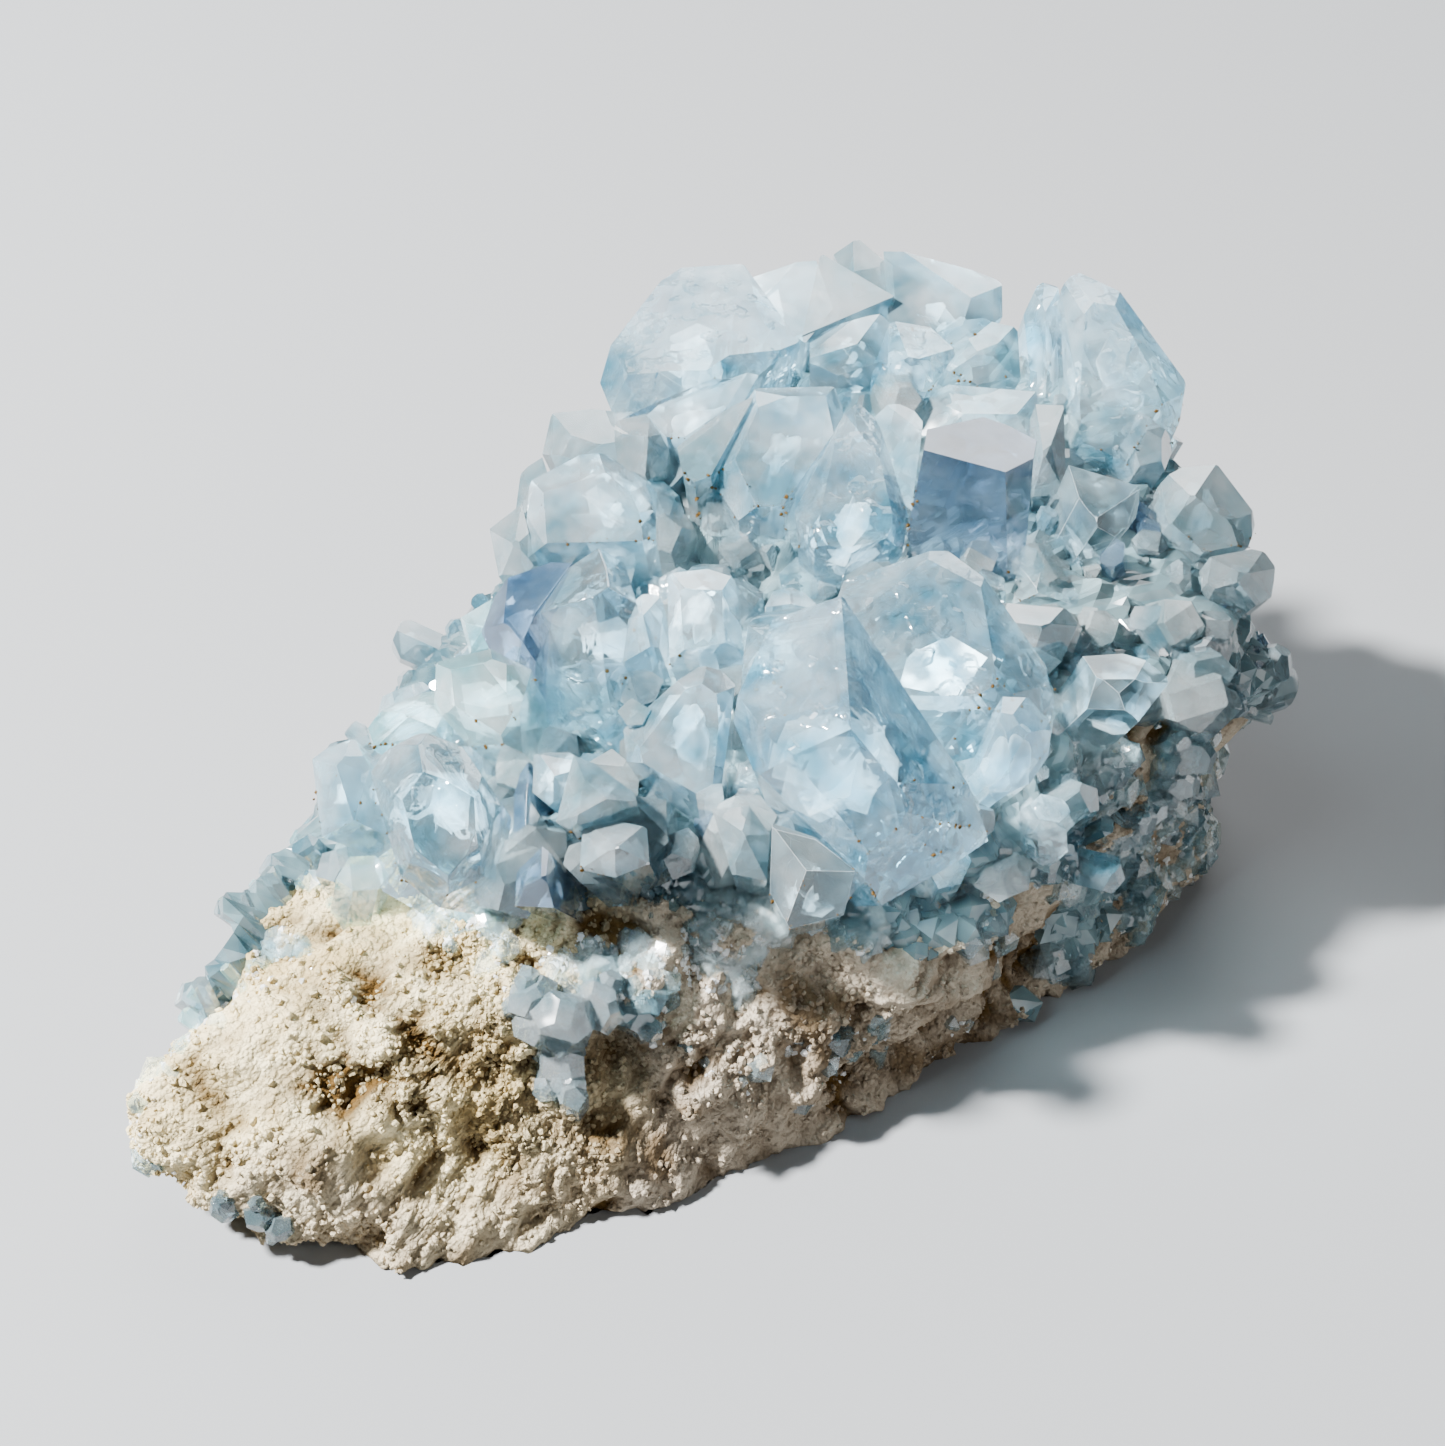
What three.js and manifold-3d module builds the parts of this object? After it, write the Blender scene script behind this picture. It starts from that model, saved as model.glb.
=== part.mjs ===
// Celestite crystal cluster
// Pale blue celestite crystals, grown into each other, cover the top, the back and the upper front
// of a lump of chalky rock. Millimetres, Z up; the origin is under the middle, on the rest plane.
// The lump rests on a flat underside, and the front slopes up and back from the lower left tip.
import * as THREE from 'three';
import { ConvexGeometry } from 'three/addons/geometries/ConvexGeometry.js';
import { mergeVertices } from 'three/addons/utils/BufferGeometryUtils.js';
import Module from 'manifold-3d';

// Driving sizes, in mm
const VIEW_TILT = 40;
const VIEW_DISTANCE = 220;
const VIEW_CENTRE = [.9, 38.2];
const LUMP_CENTRE = [2, 33, 13];
const LUMP_ROUNDNESS = 14;
const LUMP_FLATNESS = .6;
const LUMP_FINENESS = 9;
const CRUST_FINENESS = 6;
const CRUST_THICKNESS = 2.8;
const SEAM = .35;
const FINEST_DETAIL = .16;
const ROOT_LENGTH = 10;
const ROOT_AIM = [4, 34, 4];
const ROOT_TAPER = .72;
const FLAT_FACE_SPREAD = .9;
const SEAT_SPACING = 5.9;
const SEAT_TRIES = 2600;
const TO_MIDDLE = [-1.75, -34.75, 0];

// The slope that the crystals' tips follow, and where the crystals end and bare rock begins
const CROWN_FORWARD = 27.2;
const CROWN_FALL = .68;
const CROWN_RIGHT_FALL = .25;
const CROWN_RIGHT_START = 8;
const CRYSTALS_FRONT_EDGE = 26.5;
const CRYSTALS_LOWEST = 13;
const BARE_WALL_LEFT = 26;
const BARE_WALL_TOP = 39;
const RIM_FACING = [-.8, .59, .1];
const RIM_LEAN = .55;
const RIM_LOWEST = 9;
const RIM_LEFT_END = -35.5;

// Sizes of the small crystals, and how much finer or coarser they are in some places
const SMALL_HALF_WIDTH = [1.5, 2.7];
const SMALL_LENGTH = [3.4, 5.8];
const SHOWING_SHARE = .65;
const RIM_GRAIN = .62;
const WALL_GRAIN = .6;
const BACK_GRAIN = 1.3;

// Sides of the rock lump: which way each one faces, and how far it is from the lump's centre
const ROCK_SIDES = [
  [[-.12, -.29, .95], 11.6],
  [[.17, -.36, .92], 13],
  [[-.34, -.76, .56], 31.4],
  [[.24, -.83, .5], 15.4],
  [[.66, -.73, .16], 19.6],
  [[.58, -.81, -.1], 21.1],
  [[.91, -.31, -.29], 33.4],
  [[.81, .58, .1], 40.4],
  [[-.03, .99, .1], 29.5],
  [[-.83, .54, .1], 20.7],
  [[-.9, -.4, .1], 54.5],
  [[-.4, -.38, -.83], 35.2],
  [[0, 0, -1], 16.6],
];

// Hollows in the front of the rock, and one raised knob at the tip: across, up, radius, depth
const HOLLOWS = [
  [-34, 10.8, 2.4, 1.8],
  [-27, 18.8, 2.6, 1.8],
  [-23, 23.5, 2.2, 1.4],
  [-16.5, 9.5, 2.4, 1.2],
  [-7.6, 14.5, 3, 2.4],
  [3, 14, 3, 1.2],
  [16, 25.8, 2.6, 1.6],
  [30.5, 47, 5.5, 2.6],
  [-37.6, 9.6, 4, -2.6],
];

// Large crystals: name, then corners as across, up, and how far forward of the crown's slope
const LARGE_CRYSTALS = [
  ['deep_prism', [[15, 57.5, 4], [18, 57, 5], [20.7, 56, 5.5], [22.6, 56.3, 3.5], [15.1, 58.1, 3],
    [17.9, 59.5, 1.5], [19.2, 59.7, .5], [22.9, 58, 1], [13.2, 49, -1.5], [20.7, 46.5, -1],
    [21.8, 46.8, -3], [13, 47, -2]]],
  ['broad_block', [[9, 47, 2.5], [9.3, 48, 1.5], [15.2, 50.2, 2], [16.7, 50.2, 2], [14.4, 47.4, 4.4],
    [19.8, 46.2, 3.5], [23.6, 42.6, 3], [24.3, 40.3, 2.5], [23.4, 37, 3], [20.3, 40, 7],
    [17.6, 35.6, 5], [15, 37.8, 6], [13.2, 40, 6.8], [10.5, 42.5, 5]]],
  ['block_foot', [[20.3, 40, 5], [22.2, 40, 4.5], [23.6, 38.4, 4], [23.8, 36, 3.5], [22.4, 34, 3.5],
    [20.4, 33, 4], [19.6, 33.3, 4], [18.8, 35.4, 4.5], [20.8, 38.6, 6.5], [22.3, 37.6, 6], [21, 35, 6]]],
  ['front_giant', [[4.3, 45.6, 1.5], [8.8, 46.3, 2], [10.8, 44.2, 2.5], [1.6, 38.5, 4.5], [3, 35, 5.5],
    [5, 32.4, 5.5], [8.8, 29.8, 5], [11.2, 26.3, 4], [12, 25.7, 3.5], [13.9, 26.5, 3],
    [16.8, 28.2, 2.5], [19.2, 30, 1.5], [17.6, 35.2, 2.5], [15.2, 38, 3], [12.2, 41, 3.5],
    [9.5, 38.5, 9], [13.2, 34.5, 9], [14.2, 30.5, 7], [10.8, 29.5, 7.5], [5.5, 35.5, 8.2]]],
  ['clear_head', [[2.1, 42, 5.5], [2.7, 44.6, 4], [3.3, 45.6, 3], [4.4, 46.3, 2.2], [8.7, 46.2, 2.8],
    [9.3, 45.3, 4.5], [9, 42, 7.6], [9.8, 38.6, 8], [5.5, 38, 9], [2.2, 39.5, 7], [4.5, 43.8, 7],
    [7.8, 43.9, 7.2], [5, 41, 9], [7.5, 40.5, 9.2]]],
  ['head_knob', [[3.9, 46.2, 1.5], [4.4, 47.4, .5], [5.6, 47.7, .3], [6.8, 47.2, .5], [7.8, 46, 1.5],
    [5.6, 46.6, 2.2]]],
  ['flat_face', [[-.8, 42.1, 2.5], [.8, 42, 2.5], [1.7, 40.8, 2.5], [1.8, 37.5, 3.2], [.8, 33.4, 4],
    [-.8, 32.5, 4], [-3.2, 33.5, 3.5], [-5.8, 35.4, 3], [-6, 37.5, 3], [-2.5, 41.3, 3], [-.5, 41, 4.5],
    [.9, 40, 4.8], [.2, 34.2, 6.4], [-1, 33.4, 6.4], [-4.8, 36, 5.5], [-3.7, 38.6, 5]]],
  ['white_glint', [[-6.4, 39, 4], [-5.5, 40, 3.5], [-4.2, 39.1, 4.7], [-4.7, 38.1, 5.4], [-5.8, 38.1, 5]]],
  ['lilac_prism', [[-8.7, 49.9, -1.5], [-7.4, 50.4, -1.5], [-6.4, 49.9, -1.5], [-12.5, 45.2, 1],
    [-11, 47.4, 0], [-7.1, 47.9, 3], [-5.2, 46.4, 2], [-4.4, 45.5, 1.2], [-12.4, 36.5, -3.5],
    [-7, 36, -.5], [-3.6, 38, -3]]],
  ['lilac_side', [[-5.8, 45.5, 1.5], [-4.8, 47.2, .5], [-3.6, 47.2, .5], [-3, 46, 1], [-3, 43, 1],
    [-5.9, 42.6, 2], [-4.6, 45.6, 2.6], [-4.2, 43.4, 3]]],
  ['grey_crescent', [[-15.7, 45, -1], [-15.3, 46.5, -1.5], [-14.6, 47.6, -2], [-13.8, 48.5, -2],
    [-10.9, 49.4, -2], [-9.6, 49.3, -1.5], [-12.5, 45.6, 2], [-12.2, 42.5, 2.5], [-12.1, 40.1, 1.5],
    [-13.3, 40, 1.5], [-15.2, 42.6, .5], [-14.5, 45.2, 1.6], [-13.2, 44, 2.8]]],
  ['moon_face', [[-12.7, 54.4, 0], [-10.8, 55.9, -.5], [-8.8, 57.3, -1], [-7.2, 57.1, -1],
    [-4.9, 55.1, -.5], [-3.5, 54.2, 0], [-3.4, 50.4, 1], [-8, 49.6, 1.5], [-12.8, 50.2, .5],
    [-11.4, 53.4, 2], [-9.7, 54.9, 2], [-7.5, 55.4, 2], [-5, 54.2, 2.5], [-4.3, 51, 3.5], [-8, 50.6, 4],
    [-11.6, 51, 3]]],
  ['between_faces', [[-3, 48.4, 1], [-.2, 49.1, .5], [1.6, 48.2, 1], [2.2, 46, 1.5], [2.2, 43, 2.5],
    [-2.7, 42.2, 2.5], [-2.9, 46, 1.5], [-1.8, 47.6, 2.6], [.6, 47.4, 2.8], [1.2, 44, 4.2],
    [-2, 43.4, 4]]],
  ['white_block', [[-11.6, 57.2, -2], [-11.1, 59.3, -3], [-8.6, 60.2, -3.2], [-6.5, 59.9, -3],
    [-6, 58, -1], [-8, 57.3, -.5], [-9.8, 56.6, -.8], [-9.4, 58.4, -.8]]],
  ['white_shoulder', [[-6.5, 59.9, -3], [-4, 60.1, -3], [-2.7, 58.5, -2], [-3, 56, -1],
    [-4.3, 55.1, -.6], [-6.4, 56.4, -1], [-6.6, 58.5, -1], [-4.4, 58.2, .4]]],
  ['left_nub', [[-13, 55.8, -3], [-11.7, 56.8, -3], [-11.2, 55.3, -1], [-12.6, 54.6, -1],
    [-13.6, 53.6, -2], [-13.4, 52.4, -1.5], [-12.4, 52.4, 0]]],
  ['left_wing', [[-15.4, 51.7, -3], [-14.2, 52.7, -3], [-13.2, 53.3, -2.5], [-12.6, 51.5, -.8],
    [-12, 49.2, 0], [-13.2, 48.5, -.5], [-14.7, 48.6, -1.5], [-15, 50, -2.3], [-13.6, 50.6, .4]]],
  ['back_left_giant', [[-7.6, 61.8, .5], [-3.6, 69.6, -3.5], [-3, 70.1, -3.8], [3, 69.2, -3.5],
    [3.3, 66.6, -.5], [6.4, 64.8, .5], [3.6, 62.7, 2.5], [.2, 62, 4], [-3.5, 60.4, 3.5],
    [-6.9, 60.1, 2.5], [-2.2, 68.2, -1.2], [2, 67.2, -.4], [-5.9, 62.2, 3], [-1, 63.2, 4.6]]],
  ['back_wedge', [[2.6, 69, -3.5], [4.4, 69.5, -4], [5.2, 70.2, -4], [7.6, 70.3, -4], [8.4, 67, -1],
    [6.8, 64.6, 1], [4.2, 66, .5], [3, 67.2, -.5], [5.4, 68.4, -1.4]]],
  ['under_giant', [[-4.3, 59.8, 0], [-2.9, 61, -.5], [.3, 61.8, 0], [3.3, 62.3, 0], [2.2, 60.3, 1],
    [.6, 59.8, 1.8], [-1.5, 58.2, 2], [-2.9, 57.8, 1.4]]],
  ['cream_wedge', [[-2.3, 57.7, 0], [-1.9, 55.7, 1.5], [-1.1, 54.9, 2], [.2, 55.3, 2.4],
    [.9, 57.3, 2.4], [2.8, 60.3, .4], [.9, 60.2, 0], [-.9, 58.6, .6]]],
  ['pale_octagon', [[3.4, 61.6, -1], [8.5, 61.7, -1], [9.3, 60.4, -.5], [9.3, 58.9, 0], [7.3, 55, 1.5],
    [6, 53.2, 2], [4.9, 52.6, 2.5], [1.8, 52.5, 2], [.8, 54.4, 1.5], [.9, 56.5, 1], [2.6, 60.5, -.5],
    [3.9, 61, .6], [8.1, 61.1, .6], [8.6, 59, 1.6], [6.8, 55.9, 3.1], [5, 53.4, 4.1], [3.2, 53.1, 4.1],
    [2.3, 55.3, 3.2], [1.8, 57.6, 2.3]]],
  ['clear_octagon', [[10.2, 60.3, -2.5], [11, 60, -2.5], [9.2, 59.2, -1.5], [8, 56, 1],
    [12.2, 56.3, 1.5], [14, 53.2, 1], [13.5, 50.3, 2], [12.3, 49.8, 2.6], [10.3, 49, 3.2],
    [8.9, 48.7, 3.2], [7.5, 48.9, 2.8], [6.2, 50.3, 2.4], [6, 52.5, 2], [6.8, 54.4, 1.8], [8.5, 55, 3],
    [12, 55.3, 3], [12.6, 51.5, 4.4], [9.8, 49.9, 5], [7.4, 51, 4.4]]],
  ['pale_sliver', [[11.4, 59.4, -2.5], [13, 60.6, -3], [14.3, 60, -3], [15, 58, -1.5], [14.2, 54, -.5],
    [13.3, 50.2, 0], [12.2, 52, 0], [11.9, 57, -1.5]]],
  ['behind_prism', [[14.2, 60, -2], [16.2, 61.6, -3], [19.5, 62, -3], [23, 60.6, -2.5], [23, 57, -1],
    [15, 57, -1], [18, 60.2, -.5], [21.5, 59.6, -.5]]],
  ['back_right_giant', [[24.8, 68.9, -4], [25.2, 69.4, -4.3], [26.8, 69.1, -4.3], [28.7, 68.2, -4],
    [32.4, 63.7, -3], [33.3, 62, -2.5], [33.4, 60.6, -2], [32, 57.8, -1], [30.9, 55, -.5],
    [30.1, 53.8, 0], [27.3, 55.7, 1], [24.8, 56.5, 0], [26, 67, -1.6], [28.3, 67.2, -1.6],
    [31.2, 63.5, -.6], [31.6, 60.3, .6], [26, 60, 2], [30.2, 58.4, 2], [26.5, 57.2, 2.6],
    [29.6, 56.4, 2.4]]],
  ['side_column', [[21.7, 66.5, -4.5], [22.5, 68.5, -5], [23.2, 69, -5], [23.8, 68.9, -4.8],
    [24.9, 67.4, -3.5], [24.9, 60, -.5], [21.8, 60, -1.6], [23.5, 66.3, -2.2], [23.4, 61, 1]]],
  ['cream_column', [[22.8, 60.5, -1], [24.8, 60.3, -.5], [24.8, 54.2, 1], [22.4, 54, 1], [23.6, 57, 2.2]]],
  ['back_block', [[12.6, 70.9, -3.5], [14.5, 70.7, -3.5], [17, 70.1, -3.5], [19.6, 69.6, -3.5],
    [20.4, 68.7, -3], [20.4, 66.8, -1.7], [18.5, 65, .5], [15, 64.3, 1], [12.8, 65.5, .5],
    [12.2, 68, -1.5], [14, 69, -1.1], [18.8, 68.2, -.9], [17.5, 66, 1]]],
  ['sail', [[8, 71.3, -4], [11.9, 68, -2], [6.7, 65.3, 1.2], [7.3, 69.5, -2.6], [10, 66.9, 0]]],
  ['behind_sail', [[8.9, 71, -4.5], [9.9, 71.9, -4.5], [10.7, 72, -4.5], [11.3, 71, -4],
    [12.8, 69.5, -3.5], [12.9, 67.5, -1.5], [10, 68, -1.5]]],
  ['saddle_one', [[7, 65, -2], [10, 66.6, -2.5], [12.6, 66.2, -2], [12.4, 63.4, 0], [9, 62.6, .5],
    [7, 63.2, 0], [9.8, 64.8, .8]]],
  ['saddle_two', [[12.4, 66, -2], [15.6, 66, -2], [17, 63.8, -.6], [15.6, 61.6, .5], [12.6, 61.2, .6],
    [11.4, 63, 0], [14.2, 63.8, 1.4]]],
  ['saddle_three', [[16.6, 65.6, -2.4], [19, 66.6, -3], [21.6, 65.4, -2.6], [21.6, 62.4, -.8],
    [18.4, 61.8, 0], [16.4, 62.8, 0], [19.2, 64.2, .4]]],
  ['grey_round', [[25, 55.5, 1], [27.4, 55.8, 1], [29.8, 54.2, .5], [30, 52.8, .5], [28.3, 51.1, 1.5],
    [26.3, 50.9, 2], [25.2, 52.2, 1.5], [26, 54, 3], [28.5, 53.5, 2.5], [27, 52, 3.2]]],
  ['white_fracture', [[19.8, 46.6, 2], [22.5, 46.4, 1.5], [24.9, 46.2, 1], [25.6, 45.3, 1],
    [25.2, 43.6, 1.5], [24.4, 42.6, 2], [22.5, 43.5, 4], [20.8, 45.2, 4], [23.5, 45, 3.8]]],
  ['pocket_prism', [[21.5, 49.5, -4], [23, 50.2, -5], [25, 48.6, -5], [25.4, 46.4, -4],
    [21.2, 46.4, -2.5], [23, 47.4, -1.5]]],
  ['grey_lilac', [[25.9, 42.6, 1], [28.5, 43.1, .5], [30.6, 42.6, .5], [32, 41.2, .5], [31.4, 39.6, 1],
    [30.1, 38.2, 1.5], [28, 38.6, 2], [26.2, 39.4, 2], [27.5, 41.5, 3.5], [30, 41, 3], [29, 39.8, 3.5]]],
  ['right_knuckle', [[31.5, 53.6, -1], [32, 55.4, -2], [33, 56.1, -2.5], [35.6, 56.1, -3],
    [36.3, 54.6, -2.5], [37.4, 53.8, -2.5], [38.2, 52, -2.5], [37.6, 50.6, -1.5], [34.8, 50.2, 0],
    [32.2, 52, .5], [33.5, 54.3, .5], [36, 52.5, .3]]],
  ['right_corner', [[37.6, 50.4, -4], [38.8, 50.1, -4.5], [39.6, 49, -4.5], [39.2, 47, -4],
    [37.8, 46.2, -3.5], [35.8, 46.4, -3], [34.8, 47.8, -2], [35, 49.6, -1.5], [37.4, 48.6, -1]]],
  ['left_giant', [[-23.6, 34.4, -1], [-22.4, 36.7, -1.5], [-20.2, 37.5, -1.5], [-18, 36.9, -1],
    [-15.6, 34.6, 0], [-14.4, 31.8, .5], [-14.9, 28.5, 1], [-15.3, 27.2, 1.2], [-18.6, 25.1, 2],
    [-21.3, 27.2, 1.5], [-22.4, 30, .5], [-20.2, 36.6, 1], [-21.9, 33.5, 2.5], [-19.3, 34.4, 3.2],
    [-16.2, 33, 3], [-16.3, 29.5, 4], [-18.3, 27.5, 4.5], [-20.6, 29.5, 4]]],
  ['left_column', [[-27.7, 35.6, -1], [-26.6, 36.6, -1.5], [-24.8, 37, -1.5], [-23.8, 35.2, -.5],
    [-23.9, 31, .5], [-26.9, 30.2, .5], [-27.4, 32.5, 0], [-25.9, 35.2, 1], [-25, 31.5, 2]]],
  ['aqua_block', [[-19.1, 42.4, -1], [-15.3, 43.4, -2], [-12.7, 42, -1], [-12.5, 39, .5],
    [-13, 36.1, 1.5], [-15, 36.3, 1.5], [-17, 36.8, 1], [-19.2, 39.3, 0], [-18.2, 41.9, .8],
    [-15.2, 42.5, .8], [-13.6, 39, 2.5], [-14.5, 37.3, 3], [-17.6, 39, 2.2]]],
  ['aqua_nub', [[-17.4, 45.5, -3], [-16.2, 46.3, -3], [-15.2, 46.8, -3], [-15.2, 43.3, -1],
    [-16.6, 43, -1.5], [-17.2, 44.2, -2], [-16, 44.8, -.8]]],
  ['green_block', [[-24, 37.6, -1.5], [-23, 39.1, -2], [-21, 39.8, -2.5], [-19.3, 40.6, -2.5],
    [-18.6, 39.3, -1], [-19, 37.6, .5], [-21.5, 37.4, .5], [-23.6, 36.5, 0], [-21, 38.8, .8]]],
  ['frosted_fan', [[-9.8, 35.8, -.5], [-8, 35.4, -.5], [-7.4, 34.8, 0], [-5.2, 33.2, .5], [-5, 32.3, 1],
    [-9.6, 30.4, 2], [-10.6, 31.2, 1.5], [-10.2, 32.4, 1.5], [-8.6, 34.2, 2], [-7, 33, 2.8],
    [-9.2, 31.8, 3.2]]],
  ['lilac_foot', [[-12.4, 36, -1], [-9.8, 36.2, -1], [-8.4, 35.2, 0], [-9.6, 33.4, .5],
    [-11.2, 32.4, .5], [-12.4, 33.4, 0], [-10.8, 34.8, 1.4]]],
  ['low_frost', [[-8.9, 30.8, -1], [-6.4, 31.4, -1], [-4.4, 30.8, -.5], [-4.2, 28.4, .5],
    [-6.6, 27.4, 1], [-9, 28, .5], [-6.6, 29.6, 2]]],
  ['pocket_post', [[-13.2, 34.8, -4], [-12.6, 35.4, -4], [-12.5, 33.2, -3.4], [-13.4, 28, -2],
    [-12.6, 28.4, -2], [-13.9, 32, -3.6], [-13.1, 30.6, -1.8]]],
  ['slate_pair', [[-13.6, 27.8, -1.6], [-11.8, 29.7, -2], [-11.2, 29.2, -1.6], [-10.8, 25.3, -.5],
    [-13.6, 25.4, -.5], [-11.6, 27.4, .6], [-13, 26.8, .4]]],
  ['buried_grey', [[4.4, 31.2, 1], [6.8, 30.4, 1], [8.4, 29.6, 1.4], [10, 27.6, 1.4], [9.4, 24.8, 0],
    [5.6, 23.8, 0], [4.2, 26.4, .4], [6.6, 28, 2.6]]],
  ['frosted_wall', [[.4, 32.2, 0], [2.8, 32.4, 0], [4.2, 30.4, .5], [4, 27.2, .5], [1.8, 27.6, .8],
    [.8, 29.6, .6], [2.4, 30.4, 2.2]]],
];

// Crystals of the separate patches: across, up, half width
const FRONT_DRUSE = [
  [-12.2, 19, 1.6],
  [-10, 18.2, 2],
  [-7.8, 18.9, 1.6],
  [-5.8, 17.6, 1.4],
  [-10.8, 15.6, 1.6],
  [-11.2, 13.4, 1.5],
  [-9.8, 11.9, 1.3],
];
const WALL_CRYSTALS = [
  [29.2, 31.6, 1.2],
  [30.8, 32.6, 1.4],
  [32.4, 34, 1.3],
  [33, 36, 1.7],
];
const EDGE_CRYSTALS = [
  [-33, 5, .9],
  [-31.4, 4, 1],
  [-29.8, 3.2, .9],
];

// Directions of sight: forward is towards the place where the corners were read from
const tilt = THREE.MathUtils.degToRad(VIEW_TILT);
const viewUp = new THREE.Vector3(0, Math.sin(tilt), Math.cos(tilt));
const viewForward = new THREE.Vector3(0, -Math.cos(tilt), Math.sin(tilt));
const lumpCentre = new THREE.Vector3(...LUMP_CENTRE);
const rockSides = ROCK_SIDES.map(([n, h]) => ({ normal: new THREE.Vector3(...n).normalize(), reach: h }));

// A point seen at (across, up), forward mm nearer than the view's middle plane
function fromView(across, up, forward) {
  const s = 1 - forward / VIEW_DISTANCE;
  const a = VIEW_CENTRE[0] + (across - VIEW_CENTRE[0]) * s;
  const u = VIEW_CENTRE[1] + (up - VIEW_CENTRE[1]) * s;
  return new THREE.Vector3(a, 0, 0).addScaledVector(viewUp, u).addScaledVector(viewForward, forward);
}

function toView(p) {
  const forward = p.dot(viewForward);
  const s = 1 - forward / VIEW_DISTANCE;
  const across = VIEW_CENTRE[0] + (p.x - VIEW_CENTRE[0]) / s;
  const up = VIEW_CENTRE[1] + (p.dot(viewUp) - VIEW_CENTRE[1]) / s;
  return [across, up, forward];
}

// The crystals' tips lie near one slope that falls towards the front
function crownForward(across, up) {
  const right = Math.max(across - CROWN_RIGHT_START, 0);
  return CROWN_FORWARD - CROWN_FALL * up - CROWN_RIGHT_FALL * right;
}

// A repeatable number from 0 to 1 for crystal k, one for each use
function wander(k, use) {
  const v = Math.sin(12.9898 * k + 78.233 * use) * 43758.5453;
  return v - Math.floor(v);
}

// The lump is its rock sides' common block with softened edges
function lumpReach(d) {
  let sum = 0;
  for (const side of rockSides) {
    sum += (Math.max(0, d.dot(side.normal)) / side.reach) ** LUMP_ROUNDNESS;
  }
  return sum ** (-1 / LUMP_ROUNDNESS);
}

function lumpOutward(d) {
  const n = new THREE.Vector3();
  for (const side of rockSides) {
    const pull = (Math.max(0, d.dot(side.normal)) / side.reach) ** (LUMP_ROUNDNESS - 1);
    n.addScaledVector(side.normal, pull / side.reach);
  }
  return n.normalize();
}

// Lumps, ledges and hollows of the broken rock
function rockRelief(p) {
  const { x, y, z } = p;
  const lumps = 1.2 * Math.sin(.33 * x + 1.1 * Math.sin(.21 * y) + .6) * Math.sin(.29 * y + .41 * z + 1.2);
  const ledges = Math.sin(.61 * x - .47 * z + 2.1) * Math.sin(.55 * y + .66 * z);
  const chips = Math.sin(.93 * x + .71 * y + 1.7) * Math.sin(1.05 * z - .6 * y + .4);
  return lumps + .8 * ledges + .6 * chips;
}

function smoothLumpPoint(d) {
  return lumpCentre.clone().addScaledVector(d, lumpReach(d));
}

// Walks along a line of sight until it meets the smooth lump
function groundAt(across, up) {
  for (let forward = 45; forward > -60; forward -= .2) {
    const p = fromView(across, up, forward);
    const d = p.clone().sub(lumpCentre);
    const far = d.length();
    if (far < lumpReach(d.normalize())) {
      return p;
    }
  }
  return null;
}

const hollows = HOLLOWS.map(([a, u, radius, depth]) => ({ middle: groundAt(a, u), radius, depth }));

function hollowRelief(p) {
  let sum = 0;
  for (const { middle, radius, depth } of hollows) {
    sum -= depth * Math.exp(-p.distanceToSquared(middle) / radius ** 2);
  }
  return sum;
}

function lumpPoint(d, lift = 0) {
  const p = smoothLumpPoint(d);
  p.addScaledVector(d, rockRelief(p) + hollowRelief(p));
  return p.addScaledVector(lumpOutward(d), lift);
}

// How far inside the crystal-covered part a rock point lies, in mm; below 0 is bare rock
function coverage(p, n) {
  const [across, up] = toView(p);
  const clearOfWall = Math.max(BARE_WALL_LEFT - across, up - BARE_WALL_TOP);
  const top = Math.min(p.dot(viewUp) - CRYSTALS_FRONT_EDGE, p.z - CRYSTALS_LOWEST, clearOfWall);
  const facing = n.dot(new THREE.Vector3(...RIM_FACING));
  const rim = Math.min((facing - RIM_LEAN) * LUMP_ROUNDNESS, p.z - RIM_LOWEST, across - RIM_LEFT_END);
  return Math.max(top, rim);
}

const wasm = await Module();
wasm.setup();

function solidOf(geometry) {
  geometry.deleteAttribute('normal');
  geometry.deleteAttribute('uv');
  const merged = mergeVertices(geometry, 1e-4);
  return new wasm.Manifold(new wasm.Mesh({
    numProp: 3,
    vertProperties: new Float32Array(merged.attributes.position.array),
    triVerts: new Uint32Array(merged.index.array),
  }));
}

// A closed skin over every direction from the lump's centre
function lumpSkin(fineness, pointAt) {
  const geometry = new THREE.IcosahedronGeometry(1, fineness);
  const place = geometry.attributes.position;
  const d = new THREE.Vector3();
  for (let i = 0; i < place.count; i += 1) {
    d.set(...[place.getX(i), place.getY(i), place.getZ(i)].map((c) => Math.round(c * 1e5) / 1e5));
    d.z *= LUMP_FLATNESS;
    d.normalize();
    const p = pointAt(d);
    place.setXYZ(i, p.x, p.y, p.z);
  }
  return solidOf(geometry);
}

function hullTriangles(points) {
  const place = new ConvexGeometry(points).attributes.position;
  const triangles = [];
  for (let i = 0; i < place.count; i += 3) {
    const corner = [0, 1, 2].map((j) => new THREE.Vector3().fromBufferAttribute(place, i + j));
    const cross = corner[1].clone().sub(corner[0]).cross(corner[2].clone().sub(corner[0]));
    const area = cross.length() / 2;
    const middle = corner[0].clone().add(corner[1]).add(corner[2]).divideScalar(3);
    if (area > 1e-6) {
      triangles.push({ normal: cross.normalize(), area, middle });
    }
  }
  return triangles;
}

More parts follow.
